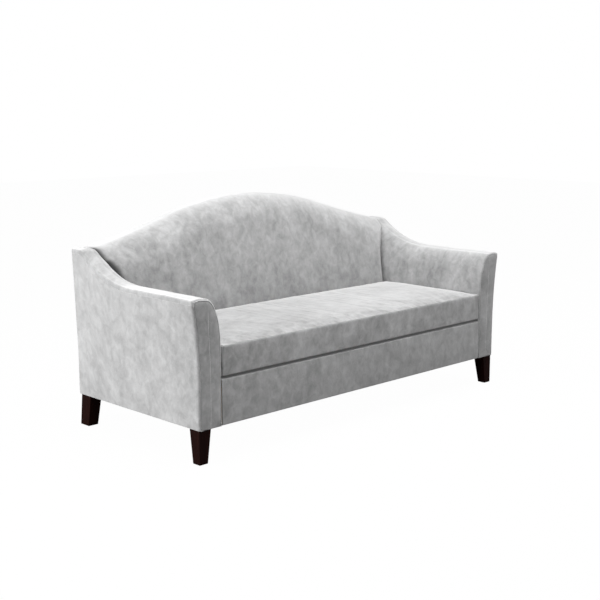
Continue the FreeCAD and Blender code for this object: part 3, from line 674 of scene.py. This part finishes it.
# The arm's front panel: rings from the rim's seam to a spine up its middle. Each ring keeps the outline's
# shape, and the panel swells from the seam towards the spine.
def makeFrontPanel(word, side):
    front, rim, radius = body["frontY"], arm["rim"], cloth["hemRadius"]
    hem, top = body["hemZ"], body["armTop"]
    upper = insideArmGrid([front], [rim], [hem])[0]
    lower = outsideArmGrid([front], [rim])[0]
    keepUpper = upper[:, 2] > hem + radius
    keepLower = lower[:, 2] > hem + radius
    outline = np.concatenate([upper[keepUpper], lower[keepLower][1:]])
    turn = np.linspace(0, math.pi / 2, 6)
    under = np.linspace(0, cloth["hemTurn"] * 0.8, 4)[1:]
    dropZ = np.concatenate([hem + radius * (1 - np.sin(turn)), hem + 0 * under])
    dropY = np.concatenate([radius * (1 - np.cos(turn)), radius + under])
    innerX, outerX = outline[0, 0], outline[-1, 0]
    ends = [np.stack([x + 0 * dropZ, front + dropY, dropZ], -1) for x in (innerX, outerX)]
    outline = np.concatenate([ends[0][::-1], outline, ends[1]])
    shift = outline[:, 1] - front
    spineX = (innerX + outerX) / 2
    spine = np.stack([spineX + arm["spineLean"] * (armFlare(front) - body["baseHalf"]) *
                      smoothStep((outline[:, 2] - arm["flareHeight"]) / 0.3),
                      outline[:, 1], np.minimum(outline[:, 2], top - arm["spineDrop"])], -1)
    reach = np.linalg.norm(outline - spine, axis=1)
    away = spaced(reach.max(), 0.004, end=False) / reach.max()
    points = outline[None] + (spine - outline)[None] * away[:, None, None]
    depth = away[:, None] * reach[None]
    flatness = smoothStep((points[..., 2] - hem - 0.004) / 0.06)
    swell = arm["panelBulge"] * (1 - np.exp(-depth / 0.014)) * flatness
    points[..., 1] = front + shift[None] - swell + arm["panelStand"]
    # Sunk a little at the top and the inner edge, hardly at all at the outer one.
    sunk = arm["frontSeamDepth"] - arm["panelSeamLoss"] * smoothStep((outline[:, 0] - spineX) / 0.05)
    points = foldEdges(points, True, ("firstRow",), depth=sunk)
    mesh = gridMesh("armFront" + word, mirroredTo(points, side), side > 0,
                    uv=np.stack([points[..., 0] * side, points[..., 2]], -1))
    panel = cover("armFront" + word, mesh, "arm_front_cover_" + word.lower())


for word, side in (("Left", -1), ("Right", 1)):
    makeArm(word, side)
print("arms ready")


# Back

back = {
    "crestRadius": 1.680,
    "crestReach": 0.480,
    "flankRadius": 4.500,
    "lean": 0.19,
    "leanStart": 0.475,
    "leanSoftness": 0.03,
    "rollDepth": 0.122,
    "rollHeight": 0.140,
    "rollFullness": 0.82,
    "endRadius": 0.050,       # how far the padding rounds off beside an arm
    "endDepth": 0.048,
    "tuck": 0.004,
    "endTopRadius": 0.50,     # how much less the ends round off at the top
    "endTopDepth": 0.55,
    "rearStart": 0.075,       # from here to the rear edge the rounding fades out
    "rearFade": 0.050,        # over this length
    "creviceShadeStart": 0.14,      # where painted shade begins beside an arm, as a share of the rounding
    "creviceShadeReach": 0.55,
    "footPaintedShade": 0.24,        # painted shade at the back's foot, just above the cushion
    "footHeight": 0.26,
    "crown": 0.007,
    "ripple": 0.0016,
    "rearBulge": 0.0030,
    "rearRipple": 0.0012,
    "rearRadius": 0.006,
    "rearRim": 0.009,
}


# The crest's height at each x: a round arc in the middle and a hollow arc down to each arm.
def crest(x):
    radius, reach, flank = back["crestRadius"], back["crestReach"], back["flankRadius"]
    x = np.abs(x)
    middle = body["crestZ"] - radius + np.sqrt(radius ** 2 - np.minimum(x, reach) ** 2)
    turnZ = body["crestZ"] - radius + math.sqrt(radius ** 2 - reach ** 2)
    endX = body["seatHalf"] + arm["shoulderWidth"]
    run, fall = endX - reach, turnZ - body["armTopRear"]
    half = math.hypot(run, fall) / 2
    up = math.sqrt(flank ** 2 - half ** 2) / (2 * half)
    centreX, centreZ = (reach + endX) / 2 + fall * up, (turnZ + body["armTopRear"]) / 2 + run * up
    side = centreZ - np.sqrt(flank ** 2 - (np.clip(x, reach, endX) - centreX) ** 2)
    return np.where(x <= reach, middle, side)


# The back's face at each height z: plumb, then leaning back, the change made soft.
def backFace(z):
    rise, soft = z - back["leanStart"], back["leanSoftness"]
    return body["seatBackY"] + back["lean"] * (rise + np.sqrt(rise ** 2 + soft ** 2)) / 2


# One coordinate of a conic from start to end, pulled towards the corner where its end tangents meet.
def pulledArc(t, start, corner, end, weight):
    share = (1 - t) ** 2 + 2 * weight * t * (1 - t) + t * t
    return ((1 - t) ** 2 * start + 2 * weight * t * (1 - t) * corner + t * t * end) / share


# The back's section for each column's x: up the face, an arc over the roll that starts in line with it,
# level to the rear edge, round it and down to the seam with the outside back.
def backSection(x):
    x = x[None, :]
    top = crest(x)
    roll = top - back["rollHeight"]
    bottom = body["deckZ"] - 0.02
    radius = back["rearRadius"]
    rise = np.linspace(0, 1, 46)[:-1, None]
    t = np.linspace(0, 1, 34)[:-1, None]
    flat = np.linspace(0, 1, 6)[:-1, None]
    bend = np.linspace(0, math.pi / 2, 7)[:-1, None]
    fall = spaced(back["rearRim"] - radius, 0.002, start=False)[:, None]
    start = backFace(roll)
    slope = back["rollDepth"]
    rear = body["backY"] - radius
    faceZ = bottom + (roll - bottom) * rise
    y = [backFace(faceZ),
         pulledArc(t, start, start + back["lean"] * back["rollHeight"], start + slope, back["rollFullness"]),
         start + slope + (rear - start - slope) * flat,
         rear + radius * np.sin(bend),
         rear + radius + 0 * fall]
    z = [faceZ,
         pulledArc(t, roll, top, top, back["rollFullness"]),
         top + 0 * flat,
         top - radius * (1 - np.cos(bend)),
         top - radius - fall]
    y = np.concatenate([a + 0 * x for a in y], 0)
    z = np.concatenate([a + 0 * x for a in z], 0)
    return y, z


def makeInsideBack():
    u = np.linspace(-1, 1, 221)
    # More columns towards the ends, where the padding rounds off.
    u = np.sign(u) * (1 - (1 - np.abs(u)) ** 1.35)
    wide = body["seatHalf"] + arm["shoulderWidth"]
    endY, endZ = backSection(np.array([wide]))
    reach = np.minimum(armInner(endY, endZ) + back["tuck"], wide)
    x = u[None, :] * reach
    y, z = backSection(u * wide)
    points = np.stack([x, y, z], -1)
    # The crest's height where each point really is, not at its column's share of the width.
    drop = crest(x) - crest(u * wide)[None, :]
    share = smoothStep((z - body["deckZ"]) / (crest(u * wide)[None, :] - body["deckZ"]))
    points[..., 2] += drop * share
    flip = True
    off = reach - np.abs(x)
    topShare = smoothStep((z - endZ.max() + 0.30) / 0.30) * smoothStep((y - 0.25) / 0.12)
    radius = back["endRadius"] * (1 - back["endTopRadius"] * topShare)
    rearShare = 1 - smoothStep((y - body["backY"] + back["rearStart"]) / back["rearFade"])
    depth = back["endDepth"] * (1 - back["endTopDepth"] * topShare) * rearShare
    t = np.clip(1 - off / radius, 0, 1)
    across = 1 - (np.abs(x) / reach) ** 4
    tall = smoothStep((z - body["deckZ"]) / 0.10) * smoothStep((crest(x) - z + 0.02) / 0.16)
    uneven = back["ripple"] * ripple(points, 0.30, 5)
    points = puff(points, flip, back["crown"] * across * tall + uneven * across)
    points = puff(points, flip, -depth * (1 - np.sqrt(1 - t * t)))
    points = foldEdges(points, flip, ("lastRow",), depth=cloth["rearSeamDepth"])
    points[..., 1] = np.minimum(points[..., 1], body["backY"])
    uv = np.stack([points[..., 0], distanceFrom(points, "firstRow")], -1)
    mesh = gridMesh("insideBack", points, flip, uv)
    # Painted shade in the crevices where the back's ends round off beside the arms, and darker towards the
    # back's foot above the cushion.
    creviceShade = smoothStep((t - back["creviceShadeStart"]) / back["creviceShadeReach"]) * rearShare
    low = back["footPaintedShade"] * (1 - smoothStep((z - body["cushionEdgeZ"]) / back["footHeight"]))
    keepPaintedShade(mesh, np.maximum(creviceShade, low))
    item = cover("insideBack", mesh, "inside_back_cover", "back_padding")


# The outside back's half width at height z: plumb to the knee and flared above it, as the arms' rear edges.
def rearHalf(z):
    top, knee = body["armTopRear"], arm["flareHeight"]
    t = np.clip((z - knee) / (top - knee), 0, 1)
    slack = arm["flareSlack"]
    flare = body["rearFlare"] - body["baseHalf"]
    return body["baseHalf"] + flare * (2 * slack * t * (1 - t) + t * t)


# The outside back: a flat panel between the arms' rear edges, the crest and the hem, a little filled out.
def makeOutsideBack():
    rim, radius = back["rearRim"], cloth["hemRadius"]
    hem, rear = body["hemZ"], body["backY"]
    flat = body["rearFlare"] - rim
    u = spaced(2 * flat, 0.014)
    u = 2 * u / u[-1] - 1
    v = spaced(0.8, 0.016, start=False)
    v = v / v[-1]
    wide = np.abs(u) * flat
    top = np.where(wide < body["seatHalf"] + arm["shoulderWidth"], crest(wide), body["armTopRear"]) - rim
    z = hem + radius + (top[None, :] - hem - radius) * v[:, None]
    x = u[None, :] * (rearHalf(z) - rim)
    y = rear + 0 * z
    turn = np.linspace(0, math.pi / 2, 6)[:-1, None]
    under = np.linspace(0, cloth["hemTurn"], 5)[::-1][:, None]
    lowZ = np.concatenate([hem + 0 * under, hem + radius * (1 - np.cos(turn))]) + 0 * x[:1]
    lowY = np.concatenate([rear - radius - under, rear - radius * (1 - np.sin(turn))]) + 0 * x[:1]
    x = np.concatenate([np.repeat(x[:1], len(lowZ), 0), x])
    y, z = np.concatenate([lowY, y]), np.concatenate([lowZ, z])
    points = np.stack([x, y, z], -1)
    flip = False
    share = filled(points, ("firstColumn", "lastColumn", "lastRow"), 0.12)
    share *= smoothStep((points[..., 2] - hem - 0.004) / 0.10)
    swell = back["rearBulge"] + back["rearRipple"] * ripple(points, 0.35, 9)
    points = puff(points, flip, swell * share)
    points = foldEdges(points, flip, ("firstColumn", "lastColumn", "lastRow"), depth=cloth["rearSeamDepth"])
    uv = np.stack([points[..., 0], points[..., 2]], -1)
    item = cover("outsideBack", gridMesh("outsideBack", points, flip, uv), "outside_back_cover")


makeInsideBack()
makeOutsideBack()
print("back ready")


# Seat

seat = {
    "railTopRadius": 0.005,
    "lip": 0.110,             # velvet that reaches back over the deck
    "railBulge": 0.0028,
    "railRipple": 0.0009,
    "railSeamDepth": 0.0007,
    "lipPaintedShade": 0.3,        # painted shade on the lip under the cushion, and on the cushion's underside
    "undersidePaintedShade": 0.75,
    "deckHollow": 0.0030,
    "cushionLeft": -0.8355,   # it sits a little to the right, so that a gap shows at the left arm
    "cushionEdge": 0.0075,
    "gridStep": 0.011,
    "lastFrame": 20,
    "moveCap": 0.026,         # how far the simulated cloth may move
    "frontLift": 0.0110,      # the bottom edge stands off the rail in front
    "frontShare": 0.16,       # how much of its movement the front boxing keeps
    "zipHalf": 0.600,
    "slotEnds": (0.0050, 0.0085),   # lines of points past each end of the zip, the slot's end between them
    "slotEnd": 0.0055,
    "slotEdges": (0.0108, 0.0132),  # and above and below it
    "slotEdge": 0.012,
    "zipZ": 0.395,
    "zipFloorY": 0.1873,
}


# The front rail's panel: under the frame, round the hem, up, round the top edge and back over the deck.
def makeFrontRail():
    hem, top = body["hemZ"], body["deckZ"]
    front, half = body["frontY"], body["seatHalf"]
    low, high = cloth["hemRadius"], seat["railTopRadius"]
    under = np.linspace(cloth["hemTurn"], 0, 5)[:-1]
    turnLow = np.linspace(0, math.pi / 2, 6)[:-1]
    rise = np.linspace(0, 1, 20)[:-1]
    turnHigh = np.linspace(0, math.pi / 2, 7)[:-1]
    lip = spaced(seat["lip"] - high, 0.010, start=False)
    y = np.concatenate([front + low + under, front + low * (1 - np.sin(turnLow)), front + 0 * rise,
                        front + high * (1 - np.cos(turnHigh)), front + high + lip])
    z = np.concatenate([hem + 0 * under, hem + low * (1 - np.cos(turnLow)),
                        hem + low + (top - high - hem - low) * rise,
                        top - high * (1 - np.sin(turnHigh)), top + 0 * lip])
    x = spaced(2 * half, 0.012) - half
    points = np.stack(np.broadcast_arrays(x[None, :], y[:, None], z[:, None]), -1)
    flip = True
    share = filled(points, ("firstColumn", "lastColumn"), 0.07)
    tall = smoothStep((points[..., 2] - hem - 0.004) / 0.06)
    tall = tall * smoothStep((top - 0.004 - points[..., 2]) / 0.05)
    swell = seat["railBulge"] + seat["railRipple"] * ripple(points, 0.24, 41)
    points = puff(points, flip, swell * share * tall)
    points = foldEdges(points, flip, ("firstColumn", "lastColumn"), depth=seat["railSeamDepth"])
    uv = np.stack([points[..., 0], distanceFrom(points, "firstRow")], -1)
    mesh = gridMesh("frontRail", points, flip, uv)
    # Painted shade on the lip, where it lies under the cushion.
    keepPaintedShade(mesh, seat["lipPaintedShade"] * (points[..., 2] > top - 0.0015))
    item = cover("frontRail", mesh, "front_rail_cover", "front_rail_padding")


# The deck behind the lip: plain decking cloth, a little hollow between the springs' rails.
def makeDeck():
    front = body["frontY"] + seat["lip"] - 0.006
    rear = body["seatBackY"] + 0.05
    x = np.linspace(-body["seatHalf"] - 0.012, body["seatHalf"] + 0.012, 150)
    y = spaced(rear - front, 0.012, end=False) + front
    x, y = np.meshgrid(x, y)
    z = body["deckZ"] - 0.0018 + 0 * x
    inward = smoothStep((body["seatHalf"] - np.abs(x)) / 0.05) * smoothStep((y - front) / 0.05)
    points = np.stack([x, y, z], -1)
    points[..., 2] -= seat["deckHollow"] * inward * (1 + ripple(points, 0.17, 77))
    item = piece("seatDeck", gridMesh("seatDeck", points, True), materials["decking"], "sofa",
                 ("deck_cover", "deck_padding"), 0.0012)


makeFrontRail()
makeDeck()


# Places along one side of the cushion: even steps, closer at both ends, with the extra ones asked for.
def cushionLines(half, extra=()):
    ends = half - np.array([0, 0.0025, 0.0055, 0.0090])
    exact = np.concatenate([ends, -ends, np.asarray(extra, float)])
    even = np.linspace(-half, half, int(round(2 * half / seat["gridStep"])) + 1)
    even = even[np.abs(even[:, None] - exact[None]).min(1) > 0.004]
    return np.sort(np.concatenate([even, exact]))


# A closed cushion as a rounded box: each point of the plain box is drawn towards the box shrunk by the
# radius, then set out by the radius. Each point also keeps its distance from the seams round top and bottom.
def cushionMesh(half, centre):
    slotX = np.array([-1, 1])[:, None] * (seat["zipHalf"] + np.array(seat["slotEnds"]))
    near = np.array(seat["slotEdges"])
    slotZ = seat["zipZ"] - centre[2] + np.concatenate([-near[::-1], [0], near])
    lines = [cushionLines(half[0], slotX.ravel() - centre[0]), cushionLines(half[1]),
             cushionLines(half[2], slotZ)]
    faces = []
    for axis in range(3):
        first, second = [(1, 2), (2, 0), (0, 1)][axis]
        a, b = np.meshgrid(lines[first], lines[second], indexing="ij")
        for sign in (-1, 1):
            points = np.zeros(a.shape + (3,))
            points[..., first], points[..., second], points[..., axis] = a, b, sign * half[axis]
            uv = np.stack([a, b] if axis == 0 else [b, a], -1)
            faces.append(gridMesh("face", points, sign < 0, uv + 3.0 * (2 * axis + (sign > 0))))
    mesh = joinedMesh("seatCushion", faces)
    plain = readPoints(mesh)
    away = half - np.abs(plain)
    seam = mesh.attributes.new("seamDistance", "FLOAT", "POINT")
    seam.data.foreach_set("value", (away[:, 2] + np.minimum(away[:, 0], away[:, 1])).astype(np.float32))
    radius = seat["cushionEdge"]
    core = np.clip(plain, -(half - radius), half - radius)
    way = plain - core
    shaped = core + way / np.maximum(np.linalg.norm(way, axis=1, keepdims=True), 1e-9) * radius
    writePoints(mesh, shaped + centre)
    return mesh, plain, away


def readPoints(mesh):
    co = np.zeros(len(mesh.vertices) * 3, np.float32)
    mesh.vertices.foreach_get("co", co)
    return co.reshape(-1, 3).astype(float)


def writePoints(mesh, points):
    mesh.vertices.foreach_set("co", points.astype(np.float32).ravel())
    mesh.polygons.foreach_set("use_smooth", np.ones(len(mesh.polygons), bool))
    mesh.update()


blowing = {
    "quality": 6,
    "mass": 0.3,
    "tension_stiffness": 12,
    "compression_stiffness": 12,
    "shear_stiffness": 4,
    "bending_stiffness": 0.35,
    "use_pressure": True,
    "uniform_pressure_force": 4.0,
    "shrink_min": -0.012,     # less than nought is extra cloth, as a share of its size
}


# Blows the cushion up as cloth held at its seams, and gives where its points end.
def blownUp(item, held):
    group = item.vertex_groups.new(name="sewn")
    group.add([int(i) for i in np.flatnonzero(held)], 1.0, "REPLACE")
    sim = item.modifiers.new("cloth", "CLOTH")
    for key, value in blowing.items():
        setattr(sim.settings, key, value)
    sim.settings.effector_weights.gravity = 0
    sim.settings.vertex_group_mass = "sewn"
    sim.collision_settings.use_collision = False
    sim.point_cache.frame_start, sim.point_cache.frame_end = 1, seat["lastFrame"]
    for step in range(1, seat["lastFrame"] + 1):
        bpy.context.scene.frame_set(step)
    done = item.evaluated_get(bpy.context.evaluated_depsgraph_get())
    points = readPoints(done.data)
    item.modifiers.remove(sim)
    item.vertex_groups.clear()
    bpy.context.scene.frame_set(1)
    return points


def makeCushion():
    low = np.array([seat["cushionLeft"], cushionLow.y + 0.001, cushionLow.z])
    high = np.array([cushionHigh.x, cushionHigh.y, body["cushionEdgeZ"]])
    half, centre = (high - low) / 2, (high + low) / 2
    mesh, plain, away = cushionMesh(half, centre)
    start = readPoints(mesh)
    item = piece("seatCushion", mesh, materials["velvetCushion"], "seat_cushion",
                 ("cushion_cover", "cushion_core"))
    up = plain[:, 2] / half[2]
    end = blownUp(item, away[:, 2] + np.minimum(away[:, 0], away[:, 1]) < 0.002)
    moved = end - start
    length = np.linalg.norm(moved, axis=1, keepdims=True)
    moved *= seat["moveCap"] * np.tanh(length / seat["moveCap"]) / np.maximum(length, 1e-9)
    print("cushion moved up to %.4f, freely %.4f" % (np.linalg.norm(moved, axis=1).max(), length.max()))
    # All of it on top, a little on the front, none where it rests or meets the arms and the back.
    front = seat["frontShare"] * smoothStep(away[:, 0] / 0.06) * (plain[:, 1] < 0)
    share = np.where(up > 0.9, body["cushionCrown"] / seat["moveCap"] + 0.1, front * (up > -0.999))
    points = start + moved * share[:, None]
    points[:, 0] = np.clip(points[:, 0], low[0], high[0])
    points[:, 1] = np.clip(points[:, 1], None, high[1])
    nearFront = 1 - smoothStep((points[:, 1] - low[1]) / 0.06)
    points[:, 2] += seat["frontLift"] * nearFront * np.clip(-up, 0, 1) ** 4
    # The zip's slot in the rear boxing.
    slot = np.abs(points[:, 0]) < seat["zipHalf"] + seat["slotEnd"]
    slot &= np.abs(start[:, 2] - seat["zipZ"]) < seat["slotEdge"]
    slot &= plain[:, 1] > half[1] - 1e-4
    points[:, 1] = np.where(slot, seat["zipFloorY"], points[:, 1])
    writePoints(mesh, points)
    # Painted shade on the cushion's underside.
    keepPaintedShade(mesh, seat["undersidePaintedShade"] * (up < -0.97))
    smooth = item.modifiers.new("smooth", "SUBSURF")
    smooth.levels = smooth.render_levels = 1


makeCushion()
print("seat ready")


# Underneath

underneath = {
    "inset": 0.014,           # the velvet's hem shows round the dust cover
    "drop": 0.0012,
    "sag": 0.0045,
    "ripple": 0.0008,
    "hem": 0.012,
    "hemDrop": 0.0005,
    "thickness": 0.0006,
}


# The dust cover: one sheet stretched over the velvet's hems, its border turned in, with a little sag between
# the rails and the centre stretcher.
def makeDustCover():
    low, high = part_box("dust_cover")
    inset = underneath["inset"]
    wide, long = high.x - low.x - 2 * inset, high.y - low.y - 2 * inset
    x = spaced(wide, 0.016) + low.x + inset
    y = spaced(long, 0.016) + low.y + inset
    x, y = np.meshgrid(x, y)
    border = np.minimum(np.minimum(x - x.min(), x.max() - x), np.minimum(y - y.min(), y.max() - y))
    inward = smoothStep((border - 0.03) / 0.12) * smoothStep(np.abs(x) / 0.16)
    z = body["hemZ"] - underneath["drop"] - underneath["sag"] * inward
    points = np.stack([x, y, z], -1)
    points[..., 2] -= underneath["ripple"] * inward * ripple(points, 0.12, 61)
    # The turned-in border is double, so it stands a little lower.
    double = 1 - smoothStep((border - underneath["hem"]) / 0.002)
    points[..., 2] -= underneath["hemDrop"] * double * smoothStep(border / 0.001)
    uv = np.stack([x, y], -1)
    item = piece("dustCover", gridMesh("dustCover", points, False, uv), materials["dustCloth"], "sofa",
                 ("dust_cover",), underneath["thickness"])


makeDustCover()
print("underneath ready")


# Legs

legs = {
    "front": {"topWidth": 0.0606, "footWidth": 0.0427, "topDepth": 0.0606, "footDepth": 0.0427},
    "rear": {"topWidth": 0.0606, "footWidth": 0.050, "topDepth": 0.066, "footDepth": 0.061},
    "edge": 0.0020,
    "footEdge": 0.0014,
}


# A tapered leg: a square with rounded corners at each height, its sizes changing evenly from top to foot.
def makeLeg(end, word, side):
    look = legs[end]
    low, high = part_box("%s_leg_%s" % (end, word.lower()))
    if side < 0:
        low, high = low.copy(), high.copy()
        low.x, high.x = -high.x, -low.x
    t = np.array([0, 0.003, 0.010, 0.2, 0.4, 0.6, 0.8, 0.985, 0.996, 1.0])
    shrink = legs["footEdge"] * np.array([1, 0.35, 0, 0, 0, 0, 0, 0, 0.35, 1])
    z = low.z + (high.z - low.z) * t
    outer = high.x + 0 * t
    inner = high.x - (look["footWidth"] + (look["topWidth"] - look["footWidth"]) * t)
    if end == "front":
        near = low.y + 0 * t
        far = low.y + look["footDepth"] + (look["topDepth"] - look["footDepth"]) * t
    else:
        footFar, topFar = high.y, low.y + look["topDepth"]
        far = footFar + (topFar - footFar) * t
        near = (footFar - look["footDepth"]) + (low.y - footFar + look["footDepth"]) * t
    x0, x1, y0, y1 = inner + shrink, outer - shrink, near + shrink, far - shrink
    radius = legs["edge"]
    turn = np.linspace(0, math.pi / 2, 5)
    rings = []
    for quarter, (cx, cy) in enumerate(((x1 - radius, y1 - radius), (x0 + radius, y1 - radius),
                                        (x0 + radius, y0 + radius), (x1 - radius, y0 + radius))):
        angle = turn + quarter * math.pi / 2
        rings.append(np.stack([cx[:, None] + radius * np.cos(angle), cy[:, None] + radius * np.sin(angle),
                               z[:, None] + 0 * angle], -1))
    ring = np.concatenate(rings, 1)
    ring = np.concatenate([ring, ring[:, :1]], 1)
    floor = np.concatenate([ring[:1].mean(1, keepdims=True) + 0 * ring[:1], ring])
    closed = np.concatenate([floor, ring[-1:].mean(1, keepdims=True) + 0 * ring[-1:]])
    name = "%sLeg%s" % (end, word)
    mesh = joinedMesh(name, [gridMesh(name, mirroredTo(closed, side), side > 0)])
    mesh.polygons.foreach_set("use_smooth", np.ones(len(mesh.polygons), bool))
    item = piece(name, mesh, materials["legWood"], "sofa", ("%s_leg_%s" % (end, word.lower()),))
    crisp = item.modifiers.new("crisp", "WEIGHTED_NORMAL")
    crisp.keep_sharp = True


for end in ("front", "rear"):
    for word, side in (("Left", -1), ("Right", 1)):
        makeLeg(end, word, side)
print("legs ready")


# What the solids keep showing

finishes = {
    "velvet": "velvet", "leg_wood": "legWood", "frame_wood": "frameWood", "plywood": "plywood",
    "foam": "foam", "burlap": "burlap", "webbing": "webbing", "dust_cloth": "dustCloth",
    "spring_steel": "springSteel", "zinc_steel": "zincSteel", "zip_nylon": "zipNylon",
    "glide_nylon": "glideNylon",
}
slotOf = {part["node"]: part["material_slot"] for part in frame["record"]["subparts"]}
for name, item in frame["nodes"].items():
    finish = materials[finishes[slotOf[name]]]
    item.data.materials.clear()
    item.data.materials.append(finish)
print("solids dressed")


# Stage

stage = {
    "floorSize": 14.0,
    "floorShow": 0.985,       # how much of the floor's white is its own, so that shadows on it stay faint
    "floorBounce": 0.22,
    "floorPale": 0.9,
    "fillLight": 0.25,
}
white = (1, 1, 1, 1)
camera = {
    "place": (-3.652, -3.687, 1.415),
    "down": 10.07,            # degrees below the horizon
    "turn": 44.74,            # degrees from straight behind the front, towards the right arm
    "lens": 67.23,
}
lights = {
    "overhead": {"place": (0, -0.7, 3.6), "aim": (0, 0, 0.4), "size": (4.6, 2.4), "power": 130},
    "leftSide": {"place": (-4.5, 0.7, 1.05), "aim": (0, 0, 0.6), "size": (3.0, 1.4), "power": 132},
    "front": {"place": (-1.0, -4.5, 1.2), "aim": (0, 0, 0.5), "size": (3.0, 2.0), "power": 22},
    "rightSide": {"place": (3.8, 0.8, 2.2), "aim": (0, 0, 0.5), "size": (2.4, 2.0), "power": 8},
}


def aimed(item, place, aim):
    way = np.array(aim, float) - np.array(place, float)
    item.location = place
    item.rotation_euler = (math.acos(-way[2] / np.linalg.norm(way)), 0, math.atan2(way[0], -way[1]) + math.pi)


# Ends a tree with one shader for what the camera sees and another for all else.
def splitByRay(tree, others, shown, end):
    seen = node(tree, "ShaderNodeLightPath")
    both = node(tree, "ShaderNodeMixShader")
    feed(tree, both, {"Fac": seen.outputs["Is Camera Ray"], 1: others.outputs[0], 2: shown.outputs[0]})
    feed(tree, tree.nodes[end], {"Surface": both.outputs[0]})


# White to the camera, and a plain dim surround to everything that it lights.
def makeSurround():
    world = bpy.data.worlds.new("studio")
    world.use_nodes = True
    bpy.context.scene.world = world
    tree = world.node_tree
    shown = tree.nodes["Background"]
    feed(tree, shown, {"Color": white})
    fill = node(tree, "ShaderNodeBackground")
    feed(tree, fill, {"Color": white, "Strength": stage["fillLight"]})
    splitByRay(tree, fill, shown, "World Output")


def makeFloorMaterial():
    item = bpy.data.materials.new("floor")
    item.use_nodes = True
    tree = item.node_tree
    tree.nodes.remove(tree.nodes["Principled BSDF"])
    pale, dim = (node(tree, "ShaderNodeBsdfDiffuse") for _ in range(2))
    bright = node(tree, "ShaderNodeEmission")
    feed(tree, pale, {"Color": (*[stage["floorPale"]] * 3, 1)})
    feed(tree, dim, {"Color": (*[stage["floorBounce"]] * 3, 1)})
    feed(tree, bright, {"Color": white})
    shown = node(tree, "ShaderNodeMixShader")
    feed(tree, shown, {"Fac": stage["floorShow"], 1: pale.outputs[0], 2: bright.outputs[0]})
    splitByRay(tree, dim, shown, "Material Output")
    return item


def makeStage():
    bpy.context.scene.view_settings.view_transform = "Standard"
    size = stage["floorSize"]
    corners = [(-size, -size, 0), (size, -size, 0), (size, size, 0), (-size, size, 0)]
    mesh = bpy.data.meshes.new("floor")
    mesh.from_pydata(corners, [], [(0, 1, 2, 3)])
    floor = placed("floor", mesh)
    mesh.materials.append(makeFloorMaterial())
    makeSurround()
    for name, look in lights.items():
        data = bpy.data.lights.new(name, "AREA")
        data.shape = "RECTANGLE"
        data.size, data.size_y = look["size"]
        data.energy = look["power"]
        aimed(placed(name, data), look["place"], look["aim"])


def makeCamera():
    data = bpy.data.cameras.new("camera")
    data.sensor_width = 36
    data.lens = camera["lens"]
    item = placed("camera", data)
    item.location = camera["place"]
    item.rotation_euler = (math.radians(90 - camera["down"]), 0, math.radians(-camera["turn"]))
    bpy.context.scene.camera = item


makeStage()
makeCamera()
print("stage ready")
